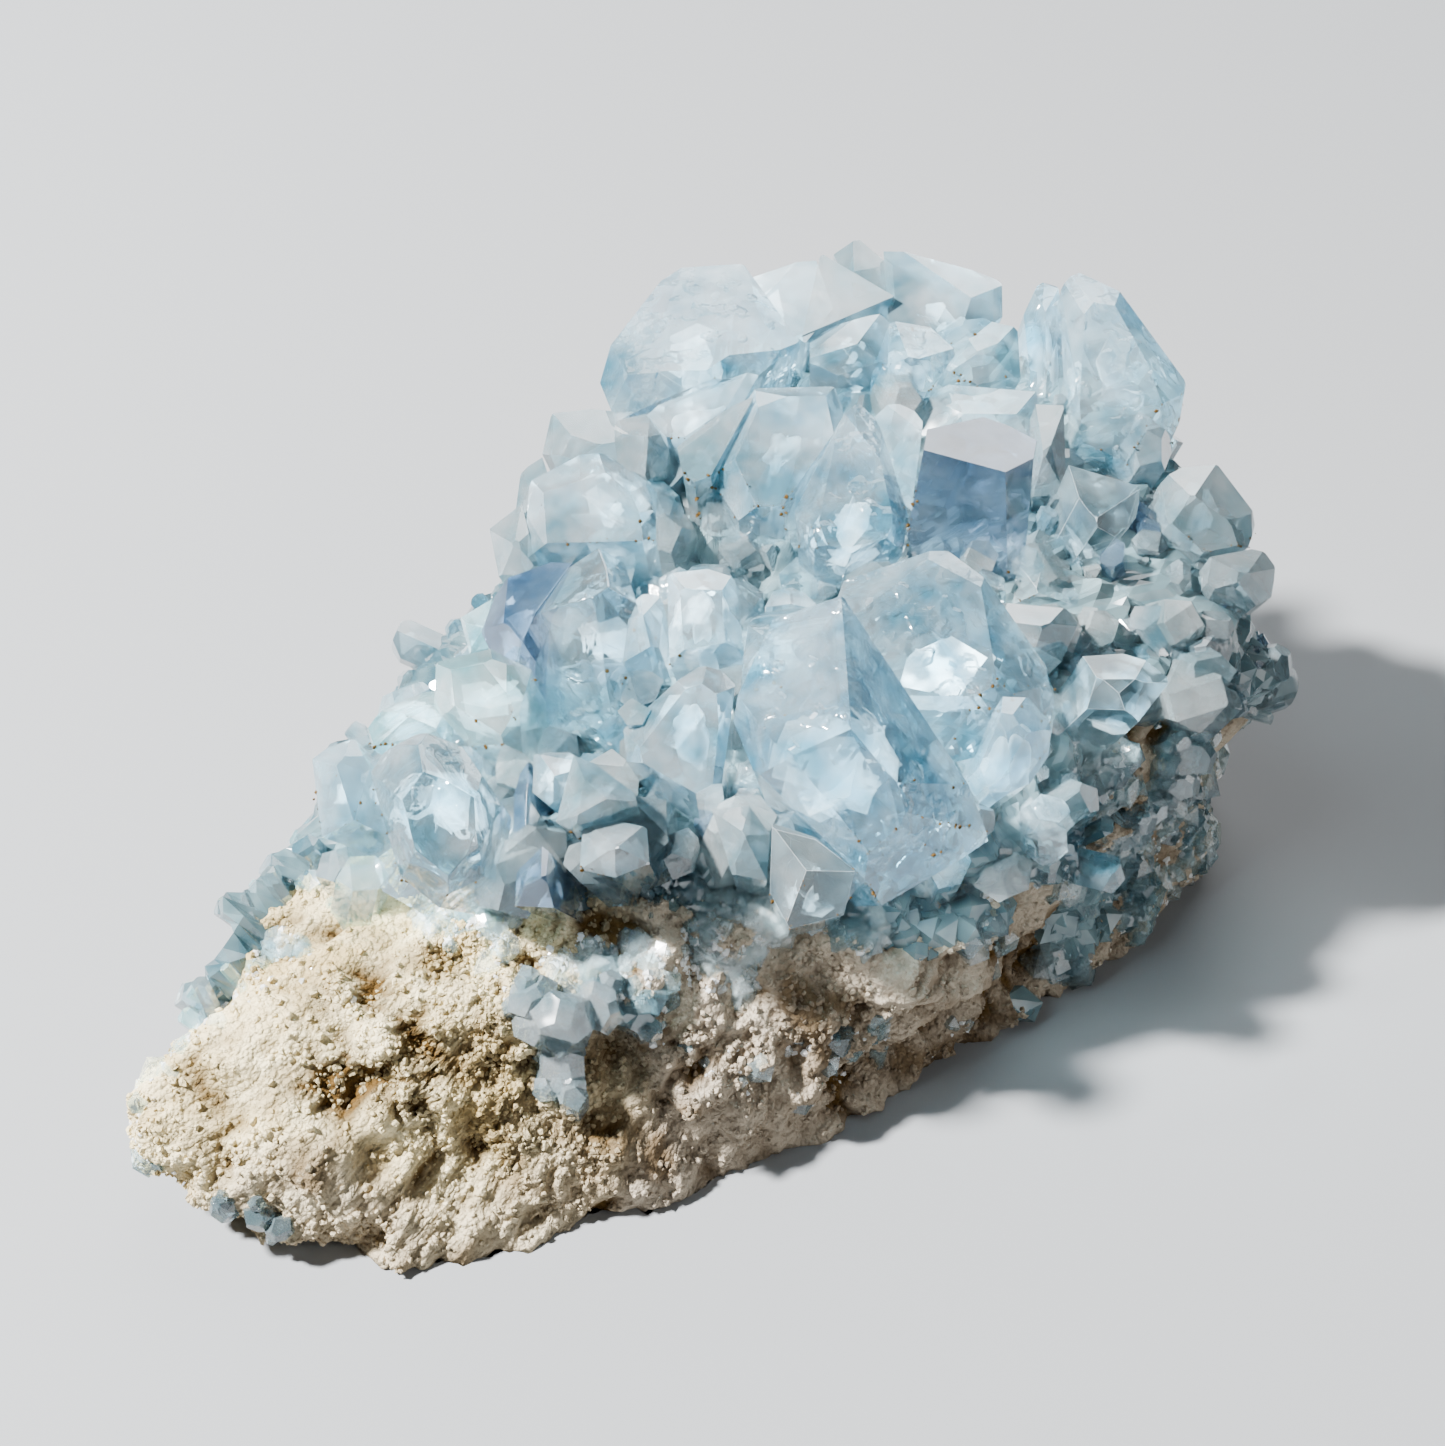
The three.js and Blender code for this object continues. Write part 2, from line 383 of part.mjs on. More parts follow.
// Neighbouring small facets become one flat crystal face
function mainFaces(points) {
  let left = hullTriangles(points).sort((a, b) => b.area - a.area);
  const faces = [];
  while (left.length > 0) {
    const seed = left[0].normal;
    const group = left.filter((t) => t.normal.dot(seed) > FLAT_FACE_SPREAD);
    left = left.filter((t) => t.normal.dot(seed) <= FLAT_FACE_SPREAD);
    const normal = new THREE.Vector3();
    group.forEach((t) => normal.addScaledVector(t.normal, t.area));
    normal.normalize();
    const area = group.reduce((sum, t) => sum + t.area, 0);
    const reach = group.reduce((sum, t) => sum + t.area * normal.dot(t.middle), 0) / area;
    faces.push({ normal, reach });
  }
  return faces;
}

// Corners where three faces meet inside all the others
function cornersOf(faces) {
  const corners = [];
  for (let i = 0; i < faces.length; i += 1) {
    for (let j = i + 1; j < faces.length; j += 1) {
      const edge = faces[i].normal.clone().cross(faces[j].normal);
      for (let k = j + 1; k < faces.length; k += 1) {
        const lean = edge.dot(faces[k].normal);
        if (Math.abs(lean) < 1e-4) {
          continue;
        }
        const p = edge.clone().multiplyScalar(faces[k].reach);
        p.addScaledVector(faces[j].normal.clone().cross(faces[k].normal), faces[i].reach);
        p.addScaledVector(faces[k].normal.clone().cross(faces[i].normal), faces[j].reach);
        p.divideScalar(lean);
        const inside = faces.every((f) => f.normal.dot(p) <= f.reach + 1e-6);
        if (inside && corners.every((c) => c.distanceTo(p) > 1e-3)) {
          corners.push(p);
        }
      }
    }
  }
  return corners;
}

function hullSolid(points) {
  return solidOf(new ConvexGeometry(points));
}

// A large crystal: the read corners in front, and a root that narrows towards the rock's heart
function largeCrystal([, corners]) {
  const count = corners.length;
  const middle = [0, 1, 2].map((i) => corners.reduce((sum, c) => sum + c[i], 0) / count);
  const base = crownForward(middle[0], middle[1]);
  const points = corners.map(([a, u, f]) => fromView(a, u, base + f));
  const inward = new THREE.Vector3(...ROOT_AIM).sub(fromView(middle[0], middle[1], base + middle[2]));
  const root = inward.setLength(.4).addScaledVector(new THREE.Vector3(0, .53, -.85), .6);
  root.setLength(ROOT_LENGTH);
  for (const [a, u] of corners) {
    const across = middle[0] + (a - middle[0]) * ROOT_TAPER;
    const up = middle[1] + (u - middle[1]) * ROOT_TAPER;
    points.push(fromView(across, up, base + middle[2]).add(root));
  }
  return hullSolid(cornersOf(mainFaces(points)));
}

// A small celestite crystal: a short prism with four or six sides and a roof of bevelled ends
function smallCrystal(seat, grow, k, halfWidth, length) {
  const g = grow.clone().normalize();
  const aside = Math.abs(g.z) < .9 ? new THREE.Vector3(0, 0, 1) : new THREE.Vector3(1, 0, 0);
  const u = aside.cross(g).normalize();
  const v = g.clone().cross(u);
  const spin = 2 * Math.PI * wander(k, 3);
  const p = u.clone().multiplyScalar(Math.cos(spin)).addScaledVector(v, Math.sin(spin));
  const q = g.clone().cross(p);
  const flat = halfWidth * (.75 + .35 * wander(k, 4));
  const habit = [
    [.615, .789, 0, halfWidth],
    [.615, -.789, 0, halfWidth],
    [-.615, .789, 0, halfWidth],
    [-.615, -.789, 0, halfWidth],
    [0, .615, .788, .788 * length],
    [0, -.615, .788, .788 * length * (.85 + .3 * wander(k, 5))],
    [0, 0, 1, length * .9],
    [0, 0, -1, halfWidth * .8],
  ];
  if (halfWidth > 2.2) {
    habit.push([1, 0, 0, flat]);
    habit.push([-1, 0, 0, flat]);
    habit.push([.773, 0, .635, .635 * length * (.95 + .3 * wander(k, 6))]);
    habit.push([-.773, 0, .635, .635 * length * (.95 + .3 * wander(k, 7))]);
  }
  const faces = habit.map(([x, y, z, reach]) => ({ normal: new THREE.Vector3(x, y, z).normalize(), reach }));
  const points = cornersOf(faces).map((c) => {
    return seat.clone().addScaledVector(p, c.x).addScaledVector(q, c.y).addScaledVector(g, c.z);
  });
  return hullSolid(points);
}

// Small crystals are finer along the left rim and on the right wall, and coarser at the back
function grainAt(across, up, n) {
  if (across < -27) {
    return RIM_GRAIN;
  }
  if (across > 26 && up < 52 && n.y < .5) {
    return WALL_GRAIN;
  }
  return n.y > .6 ? BACK_GRAIN : 1;
}

function smallSeats() {
  const kept = [];
  for (let k = 0; k < SEAT_TRIES; k += 1) {
    const z = 1 - 2 * (k + .5) / SEAT_TRIES;
    const r = Math.sqrt(1 - z * z);
    const turn = k * 2.399963;
    const d = new THREE.Vector3(r * Math.cos(turn), r * Math.sin(turn), z);
    const p = lumpPoint(d);
    const n = lumpOutward(d);
    const [across, up] = toView(p);
    const grain = grainAt(across, up, n);
    const free = kept.every((s) => s.p.distanceTo(p) > SEAT_SPACING * Math.max(grain, s.grain));
    if (coverage(p, n) > 0 && free) {
      kept.push({ p, n, k, grain });
    }
  }
  return kept;
}

function seatedCrystal({ p, n, k, grain }) {
  const grow = n.clone().multiplyScalar(.8);
  grow.add(new THREE.Vector3(wander(k, 8) - .5, wander(k, 9) - .5, wander(k, 10)).multiplyScalar(.5));
  const halfWidth = grain * THREE.MathUtils.lerp(...SMALL_HALF_WIDTH, wander(k, 1));
  const length = grain * THREE.MathUtils.lerp(...SMALL_LENGTH, wander(k, 2)) + CRUST_THICKNESS * .4;
  return smallCrystal(p, grow, k, halfWidth, length);
}

// Keeps the outer body where several crystals close off a hollow between them
function outerBody(solid) {
  const bodies = solid.decompose();
  return bodies.reduce((best, b) => (b.volume() > best.volume() ? b : best));
}

// True where every edge still joins two faces once corners closer than a micron are one corner
function cleanlyJoined(solid) {
  const { vertProperties, triVerts } = solid.getMesh();
  const corners = new Map();
  const corner = (v) => {
    const key = [0, 1, 2].map((j) => Math.round(vertProperties[3 * v + j] * 1000)).join();
    if (!corners.has(key)) {
      corners.set(key, corners.size);
    }
    return corners.get(key);
  };
  const edges = new Map();
  for (let i = 0; i < triVerts.length; i += 3) {
    const [a, b, c] = [0, 1, 2].map((j) => corner(triVerts[i + j]));
    if (a !== b && b !== c && c !== a) {
      [[a, b], [b, c], [c, a]].forEach((e) => edges.set(e.join(), (edges.get(e.join()) || 0) + 1));
    }
  }
  return [...edges].every(([e, uses]) => uses === 1 && edges.get(e.split(',').reverse().join()) === 1);
}

// Drops slivers finer than the crystals' real edges, as coarsely as keeps the body closed
function withoutSlivers(solid) {
  for (let detail = FINEST_DETAIL; detail > .01; detail -= .01) {
    const plain = solid.asOriginal().simplify(detail);
    if (cleanlyJoined(plain)) {
      return plain;
    }
  }
  return solid;
}

const group = new THREE.Group();
group.name = 'celestite_cluster';

function addNode(name, solid, colour, roughness) {
  const { vertProperties, triVerts } = solid.getMesh();
  const geometry = new THREE.BufferGeometry();
  geometry.setAttribute('position', new THREE.BufferAttribute(new Float32Array(vertProperties), 3));
  geometry.setIndex(new THREE.BufferAttribute(new Uint32Array(triVerts), 1));
  const material = new THREE.MeshStandardMaterial({ color: colour, roughness, flatShading: true });
  material.name = name;
  const mesh = new THREE.Mesh(geometry.toNonIndexed(), material);
  mesh.name = name;
  group.add(mesh);
}

// Rock lump with its flat underside
const ground = solidOf(new THREE.BoxGeometry(200, 200, 60)).translate([0, 30, -30]);
const matrix = withoutSlivers(outerBody(lumpSkin(LUMP_FINENESS, (d) => lumpPoint(d)).subtract(ground)));
const rockKeepOut = lumpSkin(LUMP_FINENESS, (d) => lumpPoint(d, SEAM));

// Crystals over the crown, all grown into one body on a thin crust
const crust = lumpSkin(CRUST_FINENESS, (d) => {
  const p = smoothLumpPoint(d);
  const cover = THREE.MathUtils.clamp(coverage(p, lumpOutward(d)) * .8, -2, CRUST_THICKNESS);
  return lumpPoint(d, cover);
});
const large = wasm.Manifold.union(LARGE_CRYSTALS.map(largeCrystal));
const showing = (c) => c.subtract(large).volume() > SHOWING_SHARE * c.volume();
const small = smallSeats().map(seatedCrystal).filter(showing);
const grown = wasm.Manifold.union([crust, large, ...small]);
const crown = withoutSlivers(outerBody(grown.subtract(rockKeepOut).subtract(ground)));

// Patches of crystals that stand by themselves in the bare rock, each on a low bed
function patch(seats, first) {
  const placed = seats.map(([a, u, size], i) => {
    const d = groundAt(a, u).sub(lumpCentre).normalize();
    return { p: lumpPoint(d), n: lumpOutward(d), k: first + i, size };
  });
  const crystals = placed.map(({ p, n, k, size }) => {
    const grow = n.clone().multiplyScalar(.8);
    grow.add(new THREE.Vector3(wander(k, 8) - .5, wander(k, 9) - .5, wander(k, 10)).multiplyScalar(.9));
    return smallCrystal(p, grow, k, size, size * 1.5);
  });
  const bed = placed.flatMap(({ p, n, size }) => {
    const aside = new THREE.Vector3(0, 0, 1).cross(n).normalize();
    const along = n.clone().cross(aside);
    return [[1, 0], [-1, 0], [0, 1], [0, -1]].map(([i, j]) => {
      return p.clone().addScaledVector(n, .8).addScaledVector(aside, i * size).addScaledVector(along, j * size);
    }).concat(p.clone().addScaledVector(n, -3));
  });
  const body = wasm.Manifold.union([...crystals, hullSolid(bed)]).subtract(rockKeepOut).subtract(ground);
  return withoutSlivers(outerBody(body));
}

const frontDruse = patch(FRONT_DRUSE, 900);
const wallCrystals = patch(WALL_CRYSTALS, 940);
const edgeCrystals = patch(EDGE_CRYSTALS, 970);

addNode('matrix', matrix.translate(TO_MIDDLE), 0xd8cbb4, .95);
addNode('crystal_cluster', crown.translate(TO_MIDDLE), 0xbcd2de, .18);
addNode('front_druse', frontDruse.translate(TO_MIDDLE), 0xd9e2e2, .3);
addNode('wall_crystals', wallCrystals.translate(TO_MIDDLE), 0xd4dedd, .3);
addNode('edge_crystals', edgeCrystals.translate(TO_MIDDLE), 0xa9b3ac, .35);

export default group;
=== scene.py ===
# %% [markdown]
# # Celestite crystal cluster
#
# The object is a loose hand specimen: a lump of crumbly cream chalk, and a crust of pale blue celestite
# crystals grown over its top, back and upper front. The lesson builds it from inside out: the rock, the fine
# druse that lines it, the large see-through crystals, and at last the small ones that fill the gaps.
# All shapes are in millimetres while they are worked out, and become metres when they go into a mesh.

# %% Load the frame
import math
from itertools import combinations

import bmesh
import bpy
import numpy as np
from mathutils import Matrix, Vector


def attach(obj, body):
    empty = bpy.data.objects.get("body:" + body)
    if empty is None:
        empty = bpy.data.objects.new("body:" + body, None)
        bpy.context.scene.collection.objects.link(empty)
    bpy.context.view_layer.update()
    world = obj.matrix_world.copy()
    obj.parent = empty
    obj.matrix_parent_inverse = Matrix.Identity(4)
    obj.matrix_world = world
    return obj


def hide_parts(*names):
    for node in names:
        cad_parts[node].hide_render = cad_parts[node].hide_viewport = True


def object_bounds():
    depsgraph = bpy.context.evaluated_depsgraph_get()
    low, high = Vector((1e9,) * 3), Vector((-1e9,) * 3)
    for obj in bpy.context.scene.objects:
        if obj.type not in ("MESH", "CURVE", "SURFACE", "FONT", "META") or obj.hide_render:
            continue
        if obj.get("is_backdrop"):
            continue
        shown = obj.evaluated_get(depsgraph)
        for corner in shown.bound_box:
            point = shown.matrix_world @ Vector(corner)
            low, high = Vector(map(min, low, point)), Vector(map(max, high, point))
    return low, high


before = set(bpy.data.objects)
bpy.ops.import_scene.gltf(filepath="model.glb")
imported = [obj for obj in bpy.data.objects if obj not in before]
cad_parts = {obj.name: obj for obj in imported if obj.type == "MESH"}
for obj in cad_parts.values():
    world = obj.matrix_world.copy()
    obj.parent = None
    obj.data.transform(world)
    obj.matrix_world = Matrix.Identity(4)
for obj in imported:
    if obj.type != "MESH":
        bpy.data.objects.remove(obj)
cad_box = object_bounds()
MM = 0.001
print("solids:", sorted(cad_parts), "box in mm:", np.round(np.array(cad_box) / MM, 1).tolist())

# %% [markdown]
# ## Where things were read from
#
# The crystals' corners are given as a viewer in front sees them: across, up, and forward, with the eye 40
# degrees above level and 220 mm away. One function turns such a reading into a place, another turns it back.
# The camera at the end stands at the same eye, so each crystal shows where it was read.

# %% Reading places
VIEW_TILT = math.radians(40)
VIEW_DISTANCE = 220.0
VIEW_CENTRE = np.array([0.9, 38.2])
TO_MIDDLE = np.array([-1.75, -34.75, 0.0])
VIEW_UP = np.array([0.0, math.sin(VIEW_TILT), math.cos(VIEW_TILT)])
VIEW_FORWARD = np.array([0.0, -math.cos(VIEW_TILT), math.sin(VIEW_TILT)])


def from_view(across, up, forward):
    """Places of (across, up, forward) readings.

    Near things look larger, by distance / (distance - forward), so a reading is shrunk by the inverse."""
    across, up, forward = np.broadcast_arrays(*[np.asarray(v, float) for v in (across, up, forward)])
    shrink = 1 - forward / VIEW_DISTANCE
    a = VIEW_CENTRE[0] + (across - VIEW_CENTRE[0]) * shrink
    u = VIEW_CENTRE[1] + (up - VIEW_CENTRE[1]) * shrink
    return a[..., None] * [1, 0, 0] + u[..., None] * VIEW_UP + forward[..., None] * VIEW_FORWARD


def to_view(places):
    """The (across, up, forward) readings of places, the inverse of from_view."""
    forward = places @ VIEW_FORWARD
    shrink = 1 - forward / VIEW_DISTANCE
    across = VIEW_CENTRE[0] + (places[..., 0] - VIEW_CENTRE[0]) / shrink
    up = VIEW_CENTRE[1] + (places @ VIEW_UP - VIEW_CENTRE[1]) / shrink
    return across, up, forward


def unit(vectors):
    """Vectors divided by their lengths."""
    vectors = np.asarray(vectors, float)
    return vectors / np.linalg.norm(vectors, axis=-1, keepdims=True)


def crown_forward(across, up):
    """The slope that the crystals' tips lie near: it falls back with height, and to the right."""
    return 27.2 - 0.68 * up - 0.25 * np.maximum(across - 8, 0)


def wander(k, use):
    """A repeatable number from 0 to 1: the fraction of sin(12.9898 k + 78.233 use) times 43758.5453."""
    value = np.sin(12.9898 * k + 78.233 * use) * 43758.5453
    return value - np.floor(value)


# %% [markdown]
# ## Noise
#
# Rock needs relief at many sizes. Two noises are enough: a smooth one, whose values are random at the corners
# of a grid and blended between them, and a cell one, which measures the distance to scattered points and so
# gives grains and crumbs. Both work on all the surface's points at once.

# %% Smooth noise and cell noise
def scatter(ix, iy, iz, seed):
    """A random value from 0 to 1 for each grid corner: mixed whole numbers, kept to 24 bits."""
    mixed = (ix * 374761393 + iy * 668265263 + iz * 1442695041 + seed * 974634777) & 0xFFFFFFFF
    mixed = ((mixed ^ (mixed >> 13)) * 1274126177) & 0xFFFFFFFF
    mixed = mixed ^ (mixed >> 16)
    return (mixed & 0xFFFFFF) / float(0xFFFFFF)


def smooth_noise(places, size, seed):
    """From -1 to 1: corner values blended along x, y and z with weights t^2 (3 - 2 t)."""
    scaled = places / size
    whole = np.floor(scaled).astype(np.int64)
    t = scaled - whole
    t = t * t * (3 - 2 * t)
    total = np.zeros(len(places))
    for corner in range(8):
        step = np.array([corner & 1, (corner >> 1) & 1, (corner >> 2) & 1])
        weight = np.prod(np.where(step, t, 1 - t), axis=1)
        total += weight * scatter(*(whole + step).T, seed)
    return 2 * total - 1


def cell_noise(places, size, seed):
    """The distances to the nearest and next nearest of points scattered one to a cell, over the cell size."""
    scaled = places / size
    whole = np.floor(scaled).astype(np.int64)
    nearest = np.full(len(places), 9.0)
    second = np.full(len(places), 9.0)
    for dx in (-1, 0, 1):
        for dy in (-1, 0, 1):
            for dz in (-1, 0, 1):
                cell = whole + [dx, dy, dz]
                point = cell + np.stack([scatter(*cell.T, seed + use) for use in (1, 2, 3)], axis=1)
                far = np.linalg.norm(point - scaled, axis=1)
                second = np.minimum(second, np.maximum(nearest, far))
                nearest = np.minimum(nearest, far)
    return nearest, second


def fractal(places, size, seed, octaves=4):
    """Smooth noises added up, each half as wide and half as high as the one before."""
    return sum(smooth_noise(places, size / 2**i, seed + i) / 2**i for i in range(octaves))


# %% [markdown]
# ## The rock lump
#
# A broken lump of rock is nearly a block with softened edges. It is worked out as a distance from its middle
# in every direction: each side pulls the surface in where it is near, and a high power blends the sides. This
# gives one closed skin with two parameters, which noise can then push in and out.

# %% The lump's shape
LUMP_CENTRE = np.array([2.0, 33.0, 13.0])
LUMP_ROUNDNESS = 14
ROCK_SIDES = [
    ((-0.12, -0.29, 0.95), 11.6), ((0.17, -0.36, 0.92), 13.0), ((-0.34, -0.76, 0.56), 31.4),
    ((0.24, -0.83, 0.5), 15.4), ((0.66, -0.73, 0.16), 19.6), ((0.58, -0.81, -0.1), 21.1),
    ((0.91, -0.31, -0.29), 33.4), ((0.81, 0.58, 0.1), 40.4), ((-0.03, 0.99, 0.1), 29.5),
    ((-0.83, 0.54, 0.1), 20.7), ((-0.9, -0.4, 0.1), 54.5), ((-0.4, -0.38, -0.83), 35.2), ((0, 0, -1), 16.6),
]
SIDE_NORMALS = unit([side[0] for side in ROCK_SIDES])
SIDE_REACH = np.array([side[1] for side in ROCK_SIDES])


def lump_reach(d):
    """Distance to the smooth surface along directions d: the sides' pulls (d.n / h), summed at power 14."""
    pull = np.maximum(0, d @ SIDE_NORMALS.T) / SIDE_REACH
    return (pull**LUMP_ROUNDNESS).sum(axis=-1) ** (-1 / LUMP_ROUNDNESS)


def lump_outward(d):
    """The way the smooth surface faces along directions d: the sides' normals, weighted by their pull."""
    pull = (np.maximum(0, d @ SIDE_NORMALS.T) / SIDE_REACH) ** (LUMP_ROUNDNESS - 1) / SIDE_REACH
    return unit(pull @ SIDE_NORMALS)


def rock_relief(p):
    """Lumps, ledges and chips: three products of sines with waves 20, 10 and 6 mm long."""
    x, y, z = p[..., 0], p[..., 1], p[..., 2]
    lumps = 1.2 * np.sin(0.33 * x + 1.1 * np.sin(0.21 * y) + 0.6) * np.sin(0.29 * y + 0.41 * z + 1.2)
    ledges = np.sin(0.61 * x - 0.47 * z + 2.1) * np.sin(0.55 * y + 0.66 * z)
    chips = np.sin(0.93 * x + 0.71 * y + 1.7) * np.sin(1.05 * z - 0.6 * y + 0.4)
    return lumps + 0.8 * ledges + 0.6 * chips


def ground_at(across, up):
    """The smooth lump's surface under readings (across, up): the first place inside it along each sight line.

    Each line is followed from 45 mm before the middle to 60 mm behind it, in steps of 0.2 mm."""
    forward = np.arange(45, -60, -0.2)
    places = from_view(np.asarray(across)[..., None], np.asarray(up)[..., None], forward)
    away = places - LUMP_CENTRE
    inside = np.linalg.norm(away, axis=-1) < lump_reach(unit(away))
    first = inside.argmax(axis=-1)
    return np.take_along_axis(places, first[..., None, None], axis=-2)[..., 0, :]


# Hollows in the rock, and one knob at its tip: across, up, radius, depth
HOLLOWS = np.array([
    (-34, 10.8, 2.4, 1.8), (-27, 18.8, 2.6, 1.8), (-23, 23.5, 2.2, 1.4), (-16.5, 9.5, 2.4, 1.2),
    (-7.6, 14.5, 3, 2.4), (3, 14, 3, 1.2), (16, 25.8, 2.6, 1.6), (30.5, 47, 5.5, 2.6), (-37.6, 9.6, 4, -2.6),
])
HOLLOW_MIDDLES = ground_at(HOLLOWS[:, 0], HOLLOWS[:, 1])


def hollow_relief(p):
    """Each hollow is a bell: depth times exp(-(distance / radius)^2)."""
    distance = np.linalg.norm(p[..., None, :] - HOLLOW_MIDDLES, axis=-1)
    return -(HOLLOWS[:, 3] * np.exp(-((distance / HOLLOWS[:, 2]) ** 2))).sum(axis=-1)


def lump_place(d, lift=0.0):
    """The rock's surface along directions d, lifted along its outward direction."""
    p = LUMP_CENTRE + d * lump_reach(d)[..., None]
    p = p + d * (rock_relief(p) + hollow_relief(p))[..., None]
    return p + lump_outward(d) * np.asarray(lift)[..., None]


def coverage(p, n):
    """How far inside the crystal-covered part a rock point lies, in mm: below 0 is bare rock."""
    across, up, _ = to_view(p)
    clear_of_wall = np.maximum(26 - across, up - 39)
    top = np.minimum(np.minimum(p @ VIEW_UP - 26.5, p[..., 2] - 13), clear_of_wall)
    facing = n @ np.array([-0.8, 0.59, 0.1])
    rim = np.minimum(np.minimum((facing - 0.55) * LUMP_ROUNDNESS, p[..., 2] - 9), across + 35.5)
    return np.maximum(top, rim)


print("lump reaches, mm:", np.round(lump_reach(unit([[1, 0, 0], [0, 1, 0], [0, 0, 1]])), 1).tolist())

# %% [markdown]
# ## Putting arrays into meshes
#
# Every piece here ends as an array of places and a list of faces. One function makes the object, turns
# millimetres into metres, moves the specimen over the origin and tells the frame which body carries it.

# %% Making a piece
def make_piece(name, places, faces, material, replaced, smooth=True, shades=True):
    """A mesh object from places in mm and faces of any number of corners; it stands for the solids replaced.

    With shades False it casts no shadow. Clear pieces are made so, because light that passes a real crystal
    isn't lost, but a shadow ray would stop at it."""
    mesh = bpy.data.meshes.new(name)
    mesh.from_pydata(((places + TO_MIDDLE) * MM).tolist(), [], faces)
    mesh.polygons.foreach_set("use_smooth", [smooth] * len(mesh.polygons))
    mesh.materials.append(material)
    mesh.update()
    piece = bpy.data.objects.new(name, mesh)
    bpy.context.collection.objects.link(piece)
    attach(piece, "root")
    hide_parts(*replaced)
    piece.visible_shadow = shades
    print(name, "corners", len(places), "faces", len(faces))
    return piece


def skin_grid(rows, columns, elevation_of, turn_of=lambda share: 2 * np.pi * share):
    """Directions over a sphere as rows of columns, closed by one pole at each end, and its faces.

    Row i is at height angle elevation_of(i / rows), column j at the angle turn_of(j / columns)."""
    height = elevation_of((np.arange(rows) + 0.5) / rows)
    turn = turn_of(np.arange(columns) / columns)
    h, t = np.meshgrid(height, turn, indexing="ij")
    ring = np.stack([np.cos(h) * np.cos(t), np.cos(h) * np.sin(t), np.sin(h)], axis=-1).reshape(-1, 3)
    directions = np.vstack([ring, [[0, 0, -1], [0, 0, 1]]])
    i, j = np.meshgrid(np.arange(rows - 1), np.arange(columns), indexing="ij")
    a = i * columns + j
    b = i * columns + (j + 1) % columns
    quads = np.stack([a, b, b + columns, a + columns], axis=-1).reshape(-1, 4).tolist()
    low, high = rows * columns, rows * columns + 1
    edge = np.arange(columns)
    after = (edge + 1) % columns
    last = (rows - 1) * columns
    bottom = np.stack([np.full(columns, low), after, edge], axis=-1).tolist()
    top = np.stack([last + edge, last + after, np.full(columns, high)], axis=-1).tolist()
    return directions, quads + bottom + top


def crowded(stops):
    """A row spacing that passes through (share of rows, degrees of height) stops, straight between them."""
    shares, degrees = zip(*stops)
    return lambda share: np.radians(np.interp(share, shares, degrees))


# %% [markdown]
# ## Colours and nodes
#
# Colours are written as the sRGB hex values that a painter would pick, and turned linear by one function.
# Another small function adds a shader node, so that each material below reads as a list of steps.

# %% Colours and nodes
def linear(hex_colour):
    """A hex colour as linear red, green, blue, 1: a channel c is c / 12.92 when small, else a 2.4 power."""
    channels = [int(hex_colour[i:i + 2], 16) / 255 for i in (1, 3, 5)]
    return tuple(c / 12.92 if c < 0.04045 else ((c + 0.055) / 1.055) ** 2.4 for c in channels) + (1.0,)


def add_node(material, kind, inputs=None, **settings):
    """Adds one node; inputs maps a socket to a value or to another node's output, settings are properties."""
    node = material.node_tree.nodes.new(kind)
    for name, value in settings.items():
        setattr(node, name, value)
    for socket, value in (inputs or {}).items():
        if isinstance(value, bpy.types.NodeSocket):
            material.node_tree.links.new(value, node.inputs[socket])
        else:
            node.inputs[socket].default_value = value
    return node


def new_material(name):
    """An empty material, and its place read from the object's own coordinates in metres."""
    material = bpy.data.materials.new(name)
    material.use_nodes = True
    material.node_tree.nodes.clear()
    return material, add_node(material, "ShaderNodeTexCoord").outputs["Object"]


def per_mm(size):
    """A texture scale whose features are size mm wide, for coordinates in metres."""
    return 1 / (size * MM)
